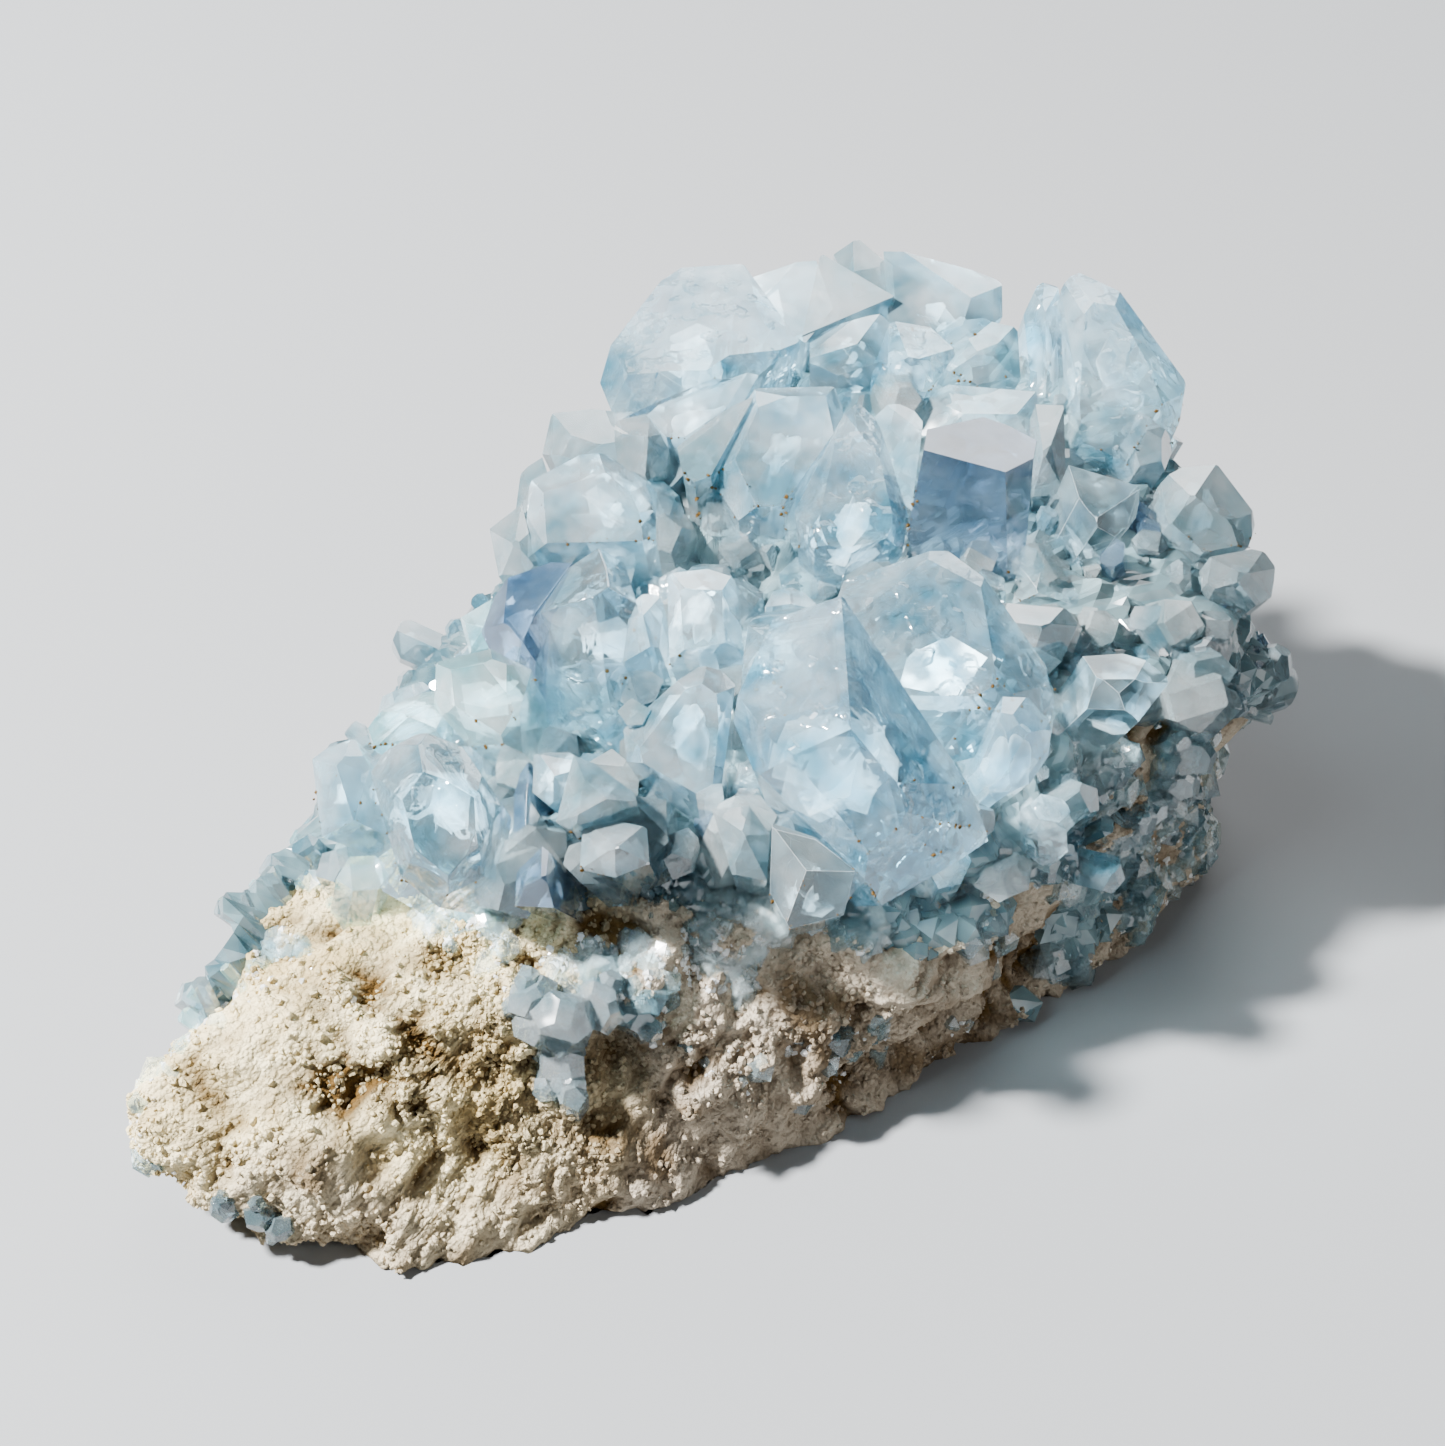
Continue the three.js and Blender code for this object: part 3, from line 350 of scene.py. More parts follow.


# %% [markdown]
# ## Chalky rock
#
# The rock is dry, porous chalk, broken and crumbled by hand: no gloss at all, cream where light falls, with
# brown in its hollows, partly stain and partly painted shade, taupe parts, partly sand and partly painted
# shade, and scattered dark grains. The surface's own height is kept on the mesh as an attribute, so that the
# brown gathers where the surface lies low.

# %% Finish of the rock
def broken_chalk():
    """Cream chalk, crumbled: two creams, taupe sand to the right, brown in hollows, dark grains.
    The taupe is partly sand and partly painted shade, the brown partly stain and partly painted shade.
    """
    material, place = new_material("chalk_broken_and_crumbled")
    patches = add_node(material, "ShaderNodeTexNoise", {"Vector": place, "Scale": per_mm(6), "Detail": 6.0,
                                                        "Roughness": 0.65}).outputs["Fac"]
    uneven = add_node(material, "ShaderNodeMapRange", {"Value": patches, "From Min": 0.38, "From Max": 0.6})
    grit = add_node(material, "ShaderNodeTexNoise", {"Vector": place, "Scale": per_mm(0.55), "Detail": 5.0,
                                                     "Roughness": 0.7}).outputs["Fac"]
    creams = add_node(material, "ShaderNodeMix", {0: uneven.outputs["Result"], 6: linear("#bea878"),
                                                  7: linear("#f2e3b6")}, data_type="RGBA").outputs[2]
    # The taupe is partly sand and partly painted shade, on the right side and low down.
    sand_and_shade = add_node(material, "ShaderNodeAttribute", attribute_name="sand_and_shade").outputs["Fac"]
    sand_and_shade_colour = add_node(material, "ShaderNodeMix", {0: sand_and_shade, 6: creams, 7: linear("#b3a591")},
                    data_type="RGBA").outputs[2]
    # The brown is partly stain and partly painted shade, darkest in the hollows.
    stain_and_shade = add_node(material, "ShaderNodeAttribute", attribute_name="stain_and_shade").outputs["Fac"]
    stained_and_shaded = add_node(material, "ShaderNodeMix", {0: stain_and_shade, 6: sand_and_shade_colour, 7: linear("#5a4424")},
                       data_type="RGBA").outputs[2]
    grains = add_node(material, "ShaderNodeMapRange", {"Value": grit, "From Min": 0.58, "From Max": 0.7,
                                                       "To Max": 0.45}).outputs["Result"]
    flecked = add_node(material, "ShaderNodeMix", {0: grains, 6: stained_and_shaded, 7: linear("#6a6355")},
                       data_type="RGBA").outputs[2]
    crumbs = add_node(material, "ShaderNodeTexVoronoi", {"Vector": place, "Scale": per_mm(0.6),
                                                         "Detail": 1.0})
    rolled = add_node(material, "ShaderNodeBump", {"Height": crumbs.outputs["Distance"], "Strength": 0.8,
                                                   "Distance": -0.5 * MM})
    height = add_node(material, "ShaderNodeBump", {"Height": grit, "Strength": 0.8, "Distance": 0.3 * MM,
                                                   "Normal": rolled.outputs["Normal"]})
    chalk = add_node(material, "ShaderNodeBsdfPrincipled", {
        "Base Color": flecked, "Roughness": 1.0, "Specular IOR Level": 0.0,
        "Normal": height.outputs["Normal"]})
    add_node(material, "ShaderNodeOutputMaterial", {"Surface": chalk.outputs["BSDF"]})
    return material


CHALK = broken_chalk()

# %% [markdown]
# ## The rock's surface
#
# The rock piece could be a sculpt, but its forms are all noise, so it is worked out: the lump of the solid,
# then broken ledges, crumbs like coarse bread, and small pits. Rows of the grid are crowded where the rock
# shows, between its foot and the crystals, and few go over the top that the crystals hide.

# %% The rock
def crumbled(p):
    """Height of broken chalk in mm: torn ledges, lumps made of lumps (cells 3.2, 1.5 and 0.75 mm), pits."""
    torn = p + 1.6 * np.stack([smooth_noise(p, 4, seed) for seed in (1, 2, 3)], axis=1)
    ledges = 0.8 - 1.7 * np.abs(fractal(torn, 6, 11, 4))
    loose = np.clip(0.9 + fractal(p, 8, 41, 2), 0.5, 1.2)
    nearly = p + 0.15 * (torn - p)
    lumps = 0.9 * (0.5 - cell_noise(torn, 3.2, 21)[0])
    lumps += 0.75 * (0.5 - cell_noise(nearly, 1.5, 24)[0]) + 0.45 * (0.5 - cell_noise(p, 0.75, 31)[0])
    pits = np.clip(fractal(torn, 3.4, 51, 3) - 0.3, 0, 1)
    return 0.6 * ledges + loose * lumps - 1.8 * pits


def make_rock():
    """The lump with its crumbled surface, cut off flat at the foot, its grid crowded at the broken front.

    The floor pushes what would go below it out to the side, by 0.7 of its depth. Taupe sand and painted shade
    lie to the right and low down. Brown stain and painted shade lie in hollows, where the surface is 1 mm
    lower than most, and in clouds of noise."""
    rows = crowded([(0, -88), (0.03, -60), (0.08, -36), (0.93, 27), (1, 88)])
    columns = crowded([(0, 0), (0.3, 185), (0.63, 250), (0.87, 345), (1, 360)])
    d, faces = skin_grid(148, 670, rows, columns)
    n = lump_outward(d)
    p = lump_place(d)
    height = crumbled(p)
    p = p + n * height[:, None]
    below = np.minimum(p[:, 2], 0)
    p[:, :2] += 0.7 * below[:, None] * unit(n[:, :2] + 1e-9)
    p[:, 2] = np.maximum(p[:, 2], 0)
    rock = make_piece("chalk_rock", p, faces, CHALK, ["matrix"])
    across, up, _ = to_view(p)
    # Painted shade, with sand: taupe on the right side and low down, where the rock lies in shade.
    sand_and_shade = np.clip((across + 12 + 3 * smooth_noise(p, 6, 61)) / 8, 0, 1)
    sand_and_shade = np.maximum(sand_and_shade, np.clip(0.8 * smooth_noise(p, 9, 62) + (9 - up) / 8, 0, 0.7))
    # Painted shade, with stain: brown where the surface lies low, in the hollows, and in clouds of noise.
    low = np.quantile(height, 0.6) - height
    stain_and_shade = np.clip(np.maximum(low, -hollow_relief(p) / 2.2 - 0.15), 0, 1)
    stain_and_shade = np.maximum(stain_and_shade, np.clip(1.8 * fractal(p, 7, 63, 3) - 0.45, 0, 0.8))
    mark(rock, "sand_and_shade", sand_and_shade)
    mark(rock, "stain_and_shade", stain_and_shade)
    return p, n, sand_and_shade, stain_and_shade


def mark(piece, name, values):
    """Keeps one value a corner on the mesh, for its material to read."""
    piece.data.attributes.new(name, "FLOAT", "POINT").data.foreach_set("value", values.astype(np.float32))


rock_places, rock_outward, rock_sand_and_shade, rock_stain_and_shade = make_rock()

# %% [markdown]
# ## Loose grains
#
# Up close the chalk is a heap of crumbs. A few thousand are real grains on the surface, each an icosahedron
# with its corners pushed about and turned its own way. All of them are made as one array.

# %% Grains
random = np.random.default_rng(7)
GOLDEN = (1 + 5**0.5) / 2
GRAIN = unit([(0, i, j * GOLDEN) for i in (1, -1) for j in (1, -1)] + [(i, j * GOLDEN, 0) for i in (1, -1)
             for j in (1, -1)] + [(j * GOLDEN, 0, i) for i in (1, -1) for j in (1, -1)])


def shell_of(points):
    """The triangles of the points' convex hull, as rows of three corner numbers, facing outwards."""
    points = points * (1 + 0.001 * wander(np.arange(len(points)), 1)[:, None])
    triples = np.array(list(combinations(range(len(points)), 3)))
    a, b, c = (points[triples[:, i]] for i in range(3))
    n = np.cross(b - a, c - a)
    side = n @ points.T - (n * a).sum(axis=1)[:, None]
    outer = (side < 1e-9).all(axis=1)
    inner = (side > -1e-9).all(axis=1)
    return np.vstack([triples[outer], triples[inner][:, ::-1]])


def scattered(shape, triangles, places, sizes, stretch, rough):
    """Copies of a shape: each stretched along its first axis, its corners pushed, and turned at random."""
    count = len(places)
    turn, _ = np.linalg.qr(random.normal(size=(count, 3, 3)))
    turn *= np.sign(np.linalg.det(turn))[:, None, None]
    pushed = shape * [stretch, 1, 1] * (1 + rough * random.uniform(-1, 1, (count, len(shape), 1)))
    corners = places[:, None] + sizes[:, None, None] * pushed @ turn
    faces = triangles[None] + len(shape) * np.arange(count)[:, None, None]
    return corners.reshape(-1, 3), faces.reshape(-1, 3).tolist()


def pick(weights, count):
    """Rock corners chosen at random, with chances in proportion to their weights."""
    return random.choice(len(weights), count, replace=False, p=weights / weights.sum())


bare = coverage(rock_places, rock_outward)
across, up, _ = to_view(rock_places)
dry = (bare < 0.5) & (rock_places[:, 2] > 0.6)
crumbly = np.clip(0.6 + fractal(rock_places, 8, 41, 2), 0.1, 1) * (1 + 2 * (across < -6)) * dry
CRUMBS = 9000
chosen = pick(crumbly, CRUMBS)
sizes = 0.1 + 0.24 * random.uniform(0, 1, len(chosen)) ** 2
corners, faces = scattered(GRAIN, shell_of(GRAIN), rock_places[chosen], sizes, 1.2, 0.35)
crumbs = make_piece("chalk_crumbs", corners, faces, CHALK, ["matrix"], smooth=False)
mark(crumbs, "sand_and_shade", np.repeat(rock_sand_and_shade[chosen], len(GRAIN)))
mark(crumbs, "stain_and_shade", np.repeat(0.6 * rock_stain_and_shade[chosen], len(GRAIN)))

# %% [markdown]
# ## Celestite
#
# Celestite is a glassy sulfate with a pale blue body. Clear parts let light through and bend it more than
# glass does, with an IOR of 1.62; inside, veils and tiny bubbles scatter it and make it milky; and faces that
# grew fast or were etched are frosted. One recipe with a few plain values gives each kind of crystal: light
# goes through it by plain transmission and is tinted by plain absorption on its way. A thin polish gives the
# sharp glints of the larger kinds, and tiny pits the sparkle of the clearest.

# %% Finish of the crystals
def celestite(name, body, veil, see_through, rough, absorbs, density, ior=1.62, polish=0.0, etched=0.0,
              ripples=0.0):
    """Grown celestite: body and veil are its two colours, see_through is plain transmission, rough the range
    of roughness over a face, absorbs and density the plain absorption inside, polish the share of a thin
    gloss, etched the depth of tiny pits on its faces, ripples the depth of shell-like rings."""
    material, place = new_material(name)
    clouds = add_node(material, "ShaderNodeTexNoise", {"Vector": place, "Scale": per_mm(6), "Detail": 3.0,
                                                       "Roughness": 0.66}).outputs["Fac"]
    veils = add_node(material, "ShaderNodeMapRange", {"Value": clouds, "From Min": 0.36, "From Max": 0.68})
    colour = add_node(material, "ShaderNodeMix", {0: veils.outputs["Result"], 6: linear(body),
                                                  7: linear(veil)}, data_type="RGBA").outputs[2]
    worn = add_node(material, "ShaderNodeTexNoise", {"Vector": place, "Scale": per_mm(2.2),
                                                     "Detail": 1.0}).outputs["Fac"]
    roughness = add_node(material, "ShaderNodeMapRange", {"Value": worn, "From Min": 0.46, "From Max": 0.66,
                                                          "To Min": rough[0], "To Max": rough[1]})
    faces = {}
    if etched:
        chips = add_node(material, "ShaderNodeTexVoronoi", {"Vector": place, "Scale": per_mm(0.9)},
                         feature="F1", distance="CHEBYCHEV").outputs["Distance"]
        patch = add_node(material, "ShaderNodeMapRange", {"Value": worn, "From Min": 0.53, "From Max": 0.6})
        pits = add_node(material, "ShaderNodeMath", {0: chips, 1: patch.outputs["Result"]},
                        operation="MULTIPLY")
        pitted = add_node(material, "ShaderNodeBump", {"Height": pits.outputs["Value"], "Strength": etched,
                                                       "Distance": 0.3 * MM})
        faces = {"Normal": pitted.outputs["Normal"]}
    if ripples:
        rings = add_node(material, "ShaderNodeTexWave", {
            "Vector": place, "Scale": per_mm(7), "Distortion": 9.0, "Detail": 1.5, "Detail Scale": 1.2},
            wave_type="RINGS", rings_direction="SPHERICAL").outputs["Fac"]
        rippled = add_node(material, "ShaderNodeBump", {"Height": rings, "Strength": ripples,
                                                        "Distance": 0.5 * MM, **faces})
        faces = {"Normal": rippled.outputs["Normal"]}
    crystal = add_node(material, "ShaderNodeBsdfPrincipled", {
        "Base Color": colour, "Roughness": roughness.outputs["Result"], "IOR": ior,
        "Transmission Weight": see_through, "Coat Weight": polish, "Coat Roughness": 0.04, "Coat IOR": 1.55,
        **faces})
    inside = add_node(material, "ShaderNodeVolumeAbsorption", {"Color": linear(absorbs), "Density": density})
    add_node(material, "ShaderNodeOutputMaterial", {"Surface": crystal.outputs["BSDF"],
                                                    "Volume": inside.outputs["Volume"]})
    return material


POLISHED = {"polish": 1.0}
PITTED = {"polish": 1.0, "etched": 0.6}
RIPPLED = {"polish": 1.0, "etched": 0.6, "ripples": 0.5}
# Tint: end of the name, body, veil, see-through, roughness, absorption and its density, finish
KINDS = {
    # pale blue, see-through, with a sparkle
    "clear": ("clear", "#669fb3", "#eefafe", 0.86, (0.02, 0.22), "#a0d0dc", 190.0, PITTED),
    # the clearest, with sharp glints
    "glassy": ("glassy", "#70a4b6", "#e6f6fa", 0.9, (0.0, 0.14), "#a2ccd8", 170.0, PITTED),
    # clear, its faces rippled like a shell
    "rippled": ("rippled", "#78a9b9", "#ecf9fc", 0.86, (0.0, 0.12), "#a6d0da", 150.0, RIPPLED),
    # clouded all through
    "milky": ("milky", "#76abbc", "#eefafe", 0.79, (0.03, 0.22), "#a4d2de", 180.0, POLISHED),
    # icy and nearly white
    "frosted": ("frosted", "#94c0cc", "#f4fdff", 0.82, (0.0, 0.2), "#b0d8e2", 110.0, POLISHED),
    # slate blue
    "deep": ("slate", "#4f7392", "#98b4c8", 0.84, (0.03, 0.18), "#668fb0", 250.0, POLISHED),
    # grey blue, in shade
    "grey": ("grey", "#7093a0", "#d4e4e6", 0.84, (0.02, 0.22), "#7ba4ae", 180.0, {}),
    # a little green
    "aqua": ("aqua", "#88bec4", "#eefcfc", 0.74, (0.06, 0.26), "#9cd2d6", 180.0, POLISHED),
    # tiny, pale and bright
    "druse": ("druse", "#9ab8be", "#f0f8f8", 0.8, (0.04, 0.26), "#acccd0", 120.0, {}),
    # painted shade: dark, deep between the others
    "buried": ("in_shade", "#4a6c77", "#9cb8bc", 0.5, (0.05, 0.24), "#638a94", 180.0, {}),
    # white, like sugar
    "sugar": ("sugar", "#f0f1ec", "#ffffff", 0.3, (0.12, 0.4), "#f2f6f4", 20.0, {}),
}
CELESTITE = {tint: celestite(f"celestite_{ending}", *values, **finish)
             for tint, (ending, *values, finish) in KINDS.items()}
SHADELESS = ("clear", "glassy", "rippled", "milky", "aqua", "deep", "grey")
# The cloud at a crystal's heart, the bright film of a healed crack, and the rubbed white of an edge, partly a
# painted highlight
VEIL = celestite("celestite_milky_heart", "#a3c8d6", "#ffffff", 0.72, (0.35, 0.6), "#bfe0f0", 30.0, ior=1.04)
CRACK = celestite("celestite_healed_crack", "#dceef6", "#ffffff", 0.8, (0.02, 0.2), "#ffffff", 1.0, ior=1.3)
# The worn edge's white is partly wear and partly a painted highlight along each edge.
WORN_EDGE_AND_HIGHLIGHT = celestite("celestite_worn_edge_and_painted_highlight", "#e0eef2", "#ffffff", 0.35, (0.2, 0.4), "#e4f2f8", 20.0)
print("kinds of celestite:", sorted(CELESTITE))

# %% [markdown]
# ## Druse on the rock
#
# Where the crystals end, the rock is lined with druse: a belt below the crystals, the middle of the front,
# and the right wall. Most of it is glassy lumps of one or two millimetres sunk in the rock, pale or, in
# clouds, slate, the darkest of them painted shade; between them lies finer stuff like sugar. Each is a block
# with its corners cut off.

# %% Druse
SUGAR = unit([(i, j, 0) for i in (1, -1) for j in (1, -1)] + [(i, 0, j) for i in (1, -1) for j in (1, -1)]
             + [(0, i, j) for i in (1, -1) for j in (1, -1)])
belt = np.exp(-(((bare + 1.5) / 2.6) ** 2))
middle = np.exp(-(((across - 6) / 11) ** 2) - (((up - 24) / 7) ** 2))
wall = np.clip((across - 20) / 6, 0, 1)
patchy = np.clip(0.3 + 1.8 * fractal(rock_places, 6, 101, 3), 0, 1)
cloud = smooth_noise(rock_places, 7, 105)
low = (rock_places[:, 2] > 1.5) & (bare < 1.5)
SUNK = 0.55


def lined(belt_share, middle_share):
    """How likely druse is at each rock corner: sure on the wall, less so on the belt and in the middle."""
    return np.maximum(belt_share * belt, np.maximum(middle_share * middle, wall))


# Tint, count, smallest and largest in mm, and where it sits
DRUSE = [("sugar", 5200, 0.12, 0.4, np.maximum(belt, 0.35 * np.maximum(middle, wall)) * patchy * dry),
         ("druse", 1300, 0.5, 1.5, lined(1, 0.7) * (cloud < 0.3) * patchy * low),
         ("grey", 700, 0.6, 1.8, lined(0.6, 0.7) * (cloud > -0.1) * patchy * low),
         # The darkest druse is painted shade.
         ("buried", 260, 0.7, 1.9, lined(0.7, 0.4) * (cloud > 0.35) * low * (across > -15))]
for tint, count, smallest, largest, weight in DRUSE:
    chosen = pick(weight, count)
    sizes = smallest + (largest - smallest) * random.uniform(0, 1, count) ** 1.5
    middles = rock_places[chosen] - SUNK * rock_outward[chosen] * sizes[:, None]
    corners, faces = scattered(SUGAR, shell_of(SUGAR), middles, sizes, 1.25, 0.14)
    make_piece(f"druse_on_rock_{tint}", corners, faces, CELESTITE[tint], ["matrix"],
               smooth=False, shades=tint == "sugar")

# %% [markdown]
# ## The crust between the crystals
#
# Between the large crystals the rock is lined with a crust of grown-together small ones. Its skin is the
# lump's again, lifted where crystals grow and sunk into the rock elsewhere, with facets of a few millimetres:
# the height follows the nearest of scattered points, which gives little roofs with sharp valleys.

# %% The crust
def make_crust():
    """The lump lifted by its coverage, with roofs from cell noise 2.4 and 1.1 mm wide."""
    rows = crowded([(0, -88), (0.08, -25), (1, 88)])
    d, faces = skin_grid(130, 420, rows)
    bare = lump_place(d)
    lift = np.clip(0.8 * coverage(bare, lump_outward(d)), -2.5, 2.0)
    near, following = cell_noise(bare, 2.4, 71)
    small, _ = cell_noise(bare, 1.1, 81)
    roofs = 1.5 * (following - near) + 0.5 * (0.7 - small)
    p = lump_place(d, lift + roofs * np.clip(lift + 0.5, 0, 1))
    p[:, 2] = np.maximum(p[:, 2], 0.3)
    # The crust's dark tint is painted shade, deep between the crystals.
    make_piece("crust_of_fine_crystals", p, faces, CELESTITE["buried"], ["crystal_cluster"],
               smooth=False)


make_crust()

# %% [markdown]
# ## Glittering chips
#
# Along its lower edge the crust breaks up into tiny clear chips that glitter. They are seated on the crust's
# skin near that edge, and in a thin sprinkle over the crust farther in.

# %% Chips
CHIP = np.array([(1, 0.6, 0), (-1, 0.6, 0), (1, -0.6, 0), (-1, -0.6, 0), (0, 0.9, 0.2), (0, -0.9, -0.2),
                 (0.5, 0.2, 1.5), (-0.5, -0.2, 1.5), (0, 0, -1)])
edge = np.exp(-(((bare - 0.8) / 1.6) ** 2)) + 0.08 * (bare > 0)
CHIPS = 1800
chosen = pick(edge * (rock_places[:, 2] > 1) * np.clip(0.4 + fractal(rock_places, 4, 111, 2), 0, 1), CHIPS)
lift = np.clip(0.8 * bare[chosen], -0.2, 1.8) + 0.3
corners, faces = scattered(CHIP, shell_of(CHIP), rock_places[chosen] + rock_outward[chosen] * lift[:, None],
                           0.2 + 0.4 * random.uniform(0, 1, CHIPS) ** 2, 1.0, 0.15)
make_piece("glittering_chips", corners, faces, CELESTITE["glassy"], ["crystal_cluster"],
           smooth=False, shades=False)

# %% [markdown]
# ## Crystals as flat-faced bodies
#
# A crystal is what lies behind all of its faces. So it is kept as a list of planes, each a direction and a
# distance; the corners are the places where three planes meet inside all the others, and each face is the
# ring of corners that lie on its plane. This keeps every face truly flat, as grown faces are.

# %% Planes, corners and faces
def corners_of(normals, reach):
    """Every three planes' meeting place that no other plane cuts off, each once."""
    triples = np.array(list(combinations(range(len(normals)), 3)))
    solid = normals[triples]
    open_angle = np.abs(np.linalg.det(solid)) > 1e-4
    met = np.linalg.solve(solid[open_angle], reach[triples[open_angle]][..., None])[..., 0]
    met = met[(met @ normals.T <= reach + 1e-6).all(axis=1)]
    _, first = np.unique(np.round(met, 3), axis=0, return_index=True)
    return met[np.sort(first)]


def crystal_faces(normals, reach):
    """Corners, and each face as the ring of its corners in order of their angle around its normal."""
    corners = corners_of(normals, reach)
    faces = []
    for n, h in zip(normals, reach):
        ring = np.flatnonzero(np.abs(corners @ n - h) < 2e-3)
        if len(ring) < 3:
            continue
        spread = corners[ring] - corners[ring].mean(axis=0)
        side = unit(np.cross(n, [0.36, 0.48, 0.8]))
        angle = np.arctan2(spread @ np.cross(n, side), spread @ side)
        faces.append(ring[np.argsort(angle)].tolist())
    return corners, faces


def hull_facets(points):
    """Normals, areas and middles of the triangles of the points' convex hull."""
    hull = bmesh.new()
    for point in points:
        hull.verts.new(point)
    bmesh.ops.convex_hull(hull, input=hull.verts)
    hull.normal_update()
    facets = [(*f.normal, f.calc_area(), *f.calc_center_median()) for f in hull.faces]
    hull.free()
    facets = np.array(facets)
    return facets[:, :3], facets[:, 3], facets[:, 4:]


def main_faces(points, spread=0.9):
    """The points' hull with its facets gathered into faces.

    Facets within 26 degrees of a larger one (a cosine of 0.9) become one plane with it."""
    n, area, middle = hull_facets(points)
    order = np.argsort(-area, kind="stable")
    n, area, middle = n[order], area[order], middle[order]
    left = np.ones(len(n), bool)
    normals, reach = [], []
    while left.any():
        group = left & (n @ n[left.argmax()] > spread)
        left &= ~group
        normal = unit((n[group] * area[group, None]).sum(axis=0))
        normals.append(normal)
        reach.append(((middle[group] @ normal) * area[group]).sum() / area[group].sum())
    return np.array(normals), np.array(reach)


def together(parts):
    """Joins (corners, faces) pairs into one array of corners and one list of faces."""
    start = np.cumsum([0] + [len(corners) for corners, _ in parts])
    faces = [[i + int(first) for i in face] for (_, own), first in zip(parts, start) for face in own]
    return np.vstack([corners for corners, _ in parts]), faces


def soften(piece, width, segments=2, edge=WORN_EDGE_AND_HIGHLIGHT):
    """Grown edges are never razor sharp: a narrow bevel, rubbed white, catches a line of light along each.
    Its white is partly wear and partly a painted highlight.
    """
    piece.data.materials.append(edge)
    area = np.zeros(len(piece.data.polygons))
    piece.data.polygons.foreach_get("area", area)
    piece.data.polygons.foreach_set("material_index", (area < 8 * (width * MM) ** 2).astype(np.int32))
    bevel = piece.modifiers.new("softened edges", "BEVEL")
    bevel.width = width * MM
    bevel.segments = segments
    bevel.limit_method = "ANGLE"
    bevel.angle_limit = math.radians(15)
    bevel.harden_normals = True
    bevel.material = 1


def nicked(normals, reach, k, count, depth):
    """The crystal with count narrow facets more, each cut across an edge or corner, 0 to depth mm deep."""
    corners = corners_of(normals, reach)
    more_normals, more_reach = [], []
    for i in range(count):
        mix = np.array([wander(k + 0.37 * i, 20 + j) for j in range(len(normals))]) ** 6
        n = unit(mix @ normals)
        more_normals.append(n)
        more_reach.append((corners @ n).max() - depth * (0.15 + 0.85 * wander(k + 0.37 * i, 15)))
    return np.vstack([normals, more_normals]), np.append(reach, more_reach)
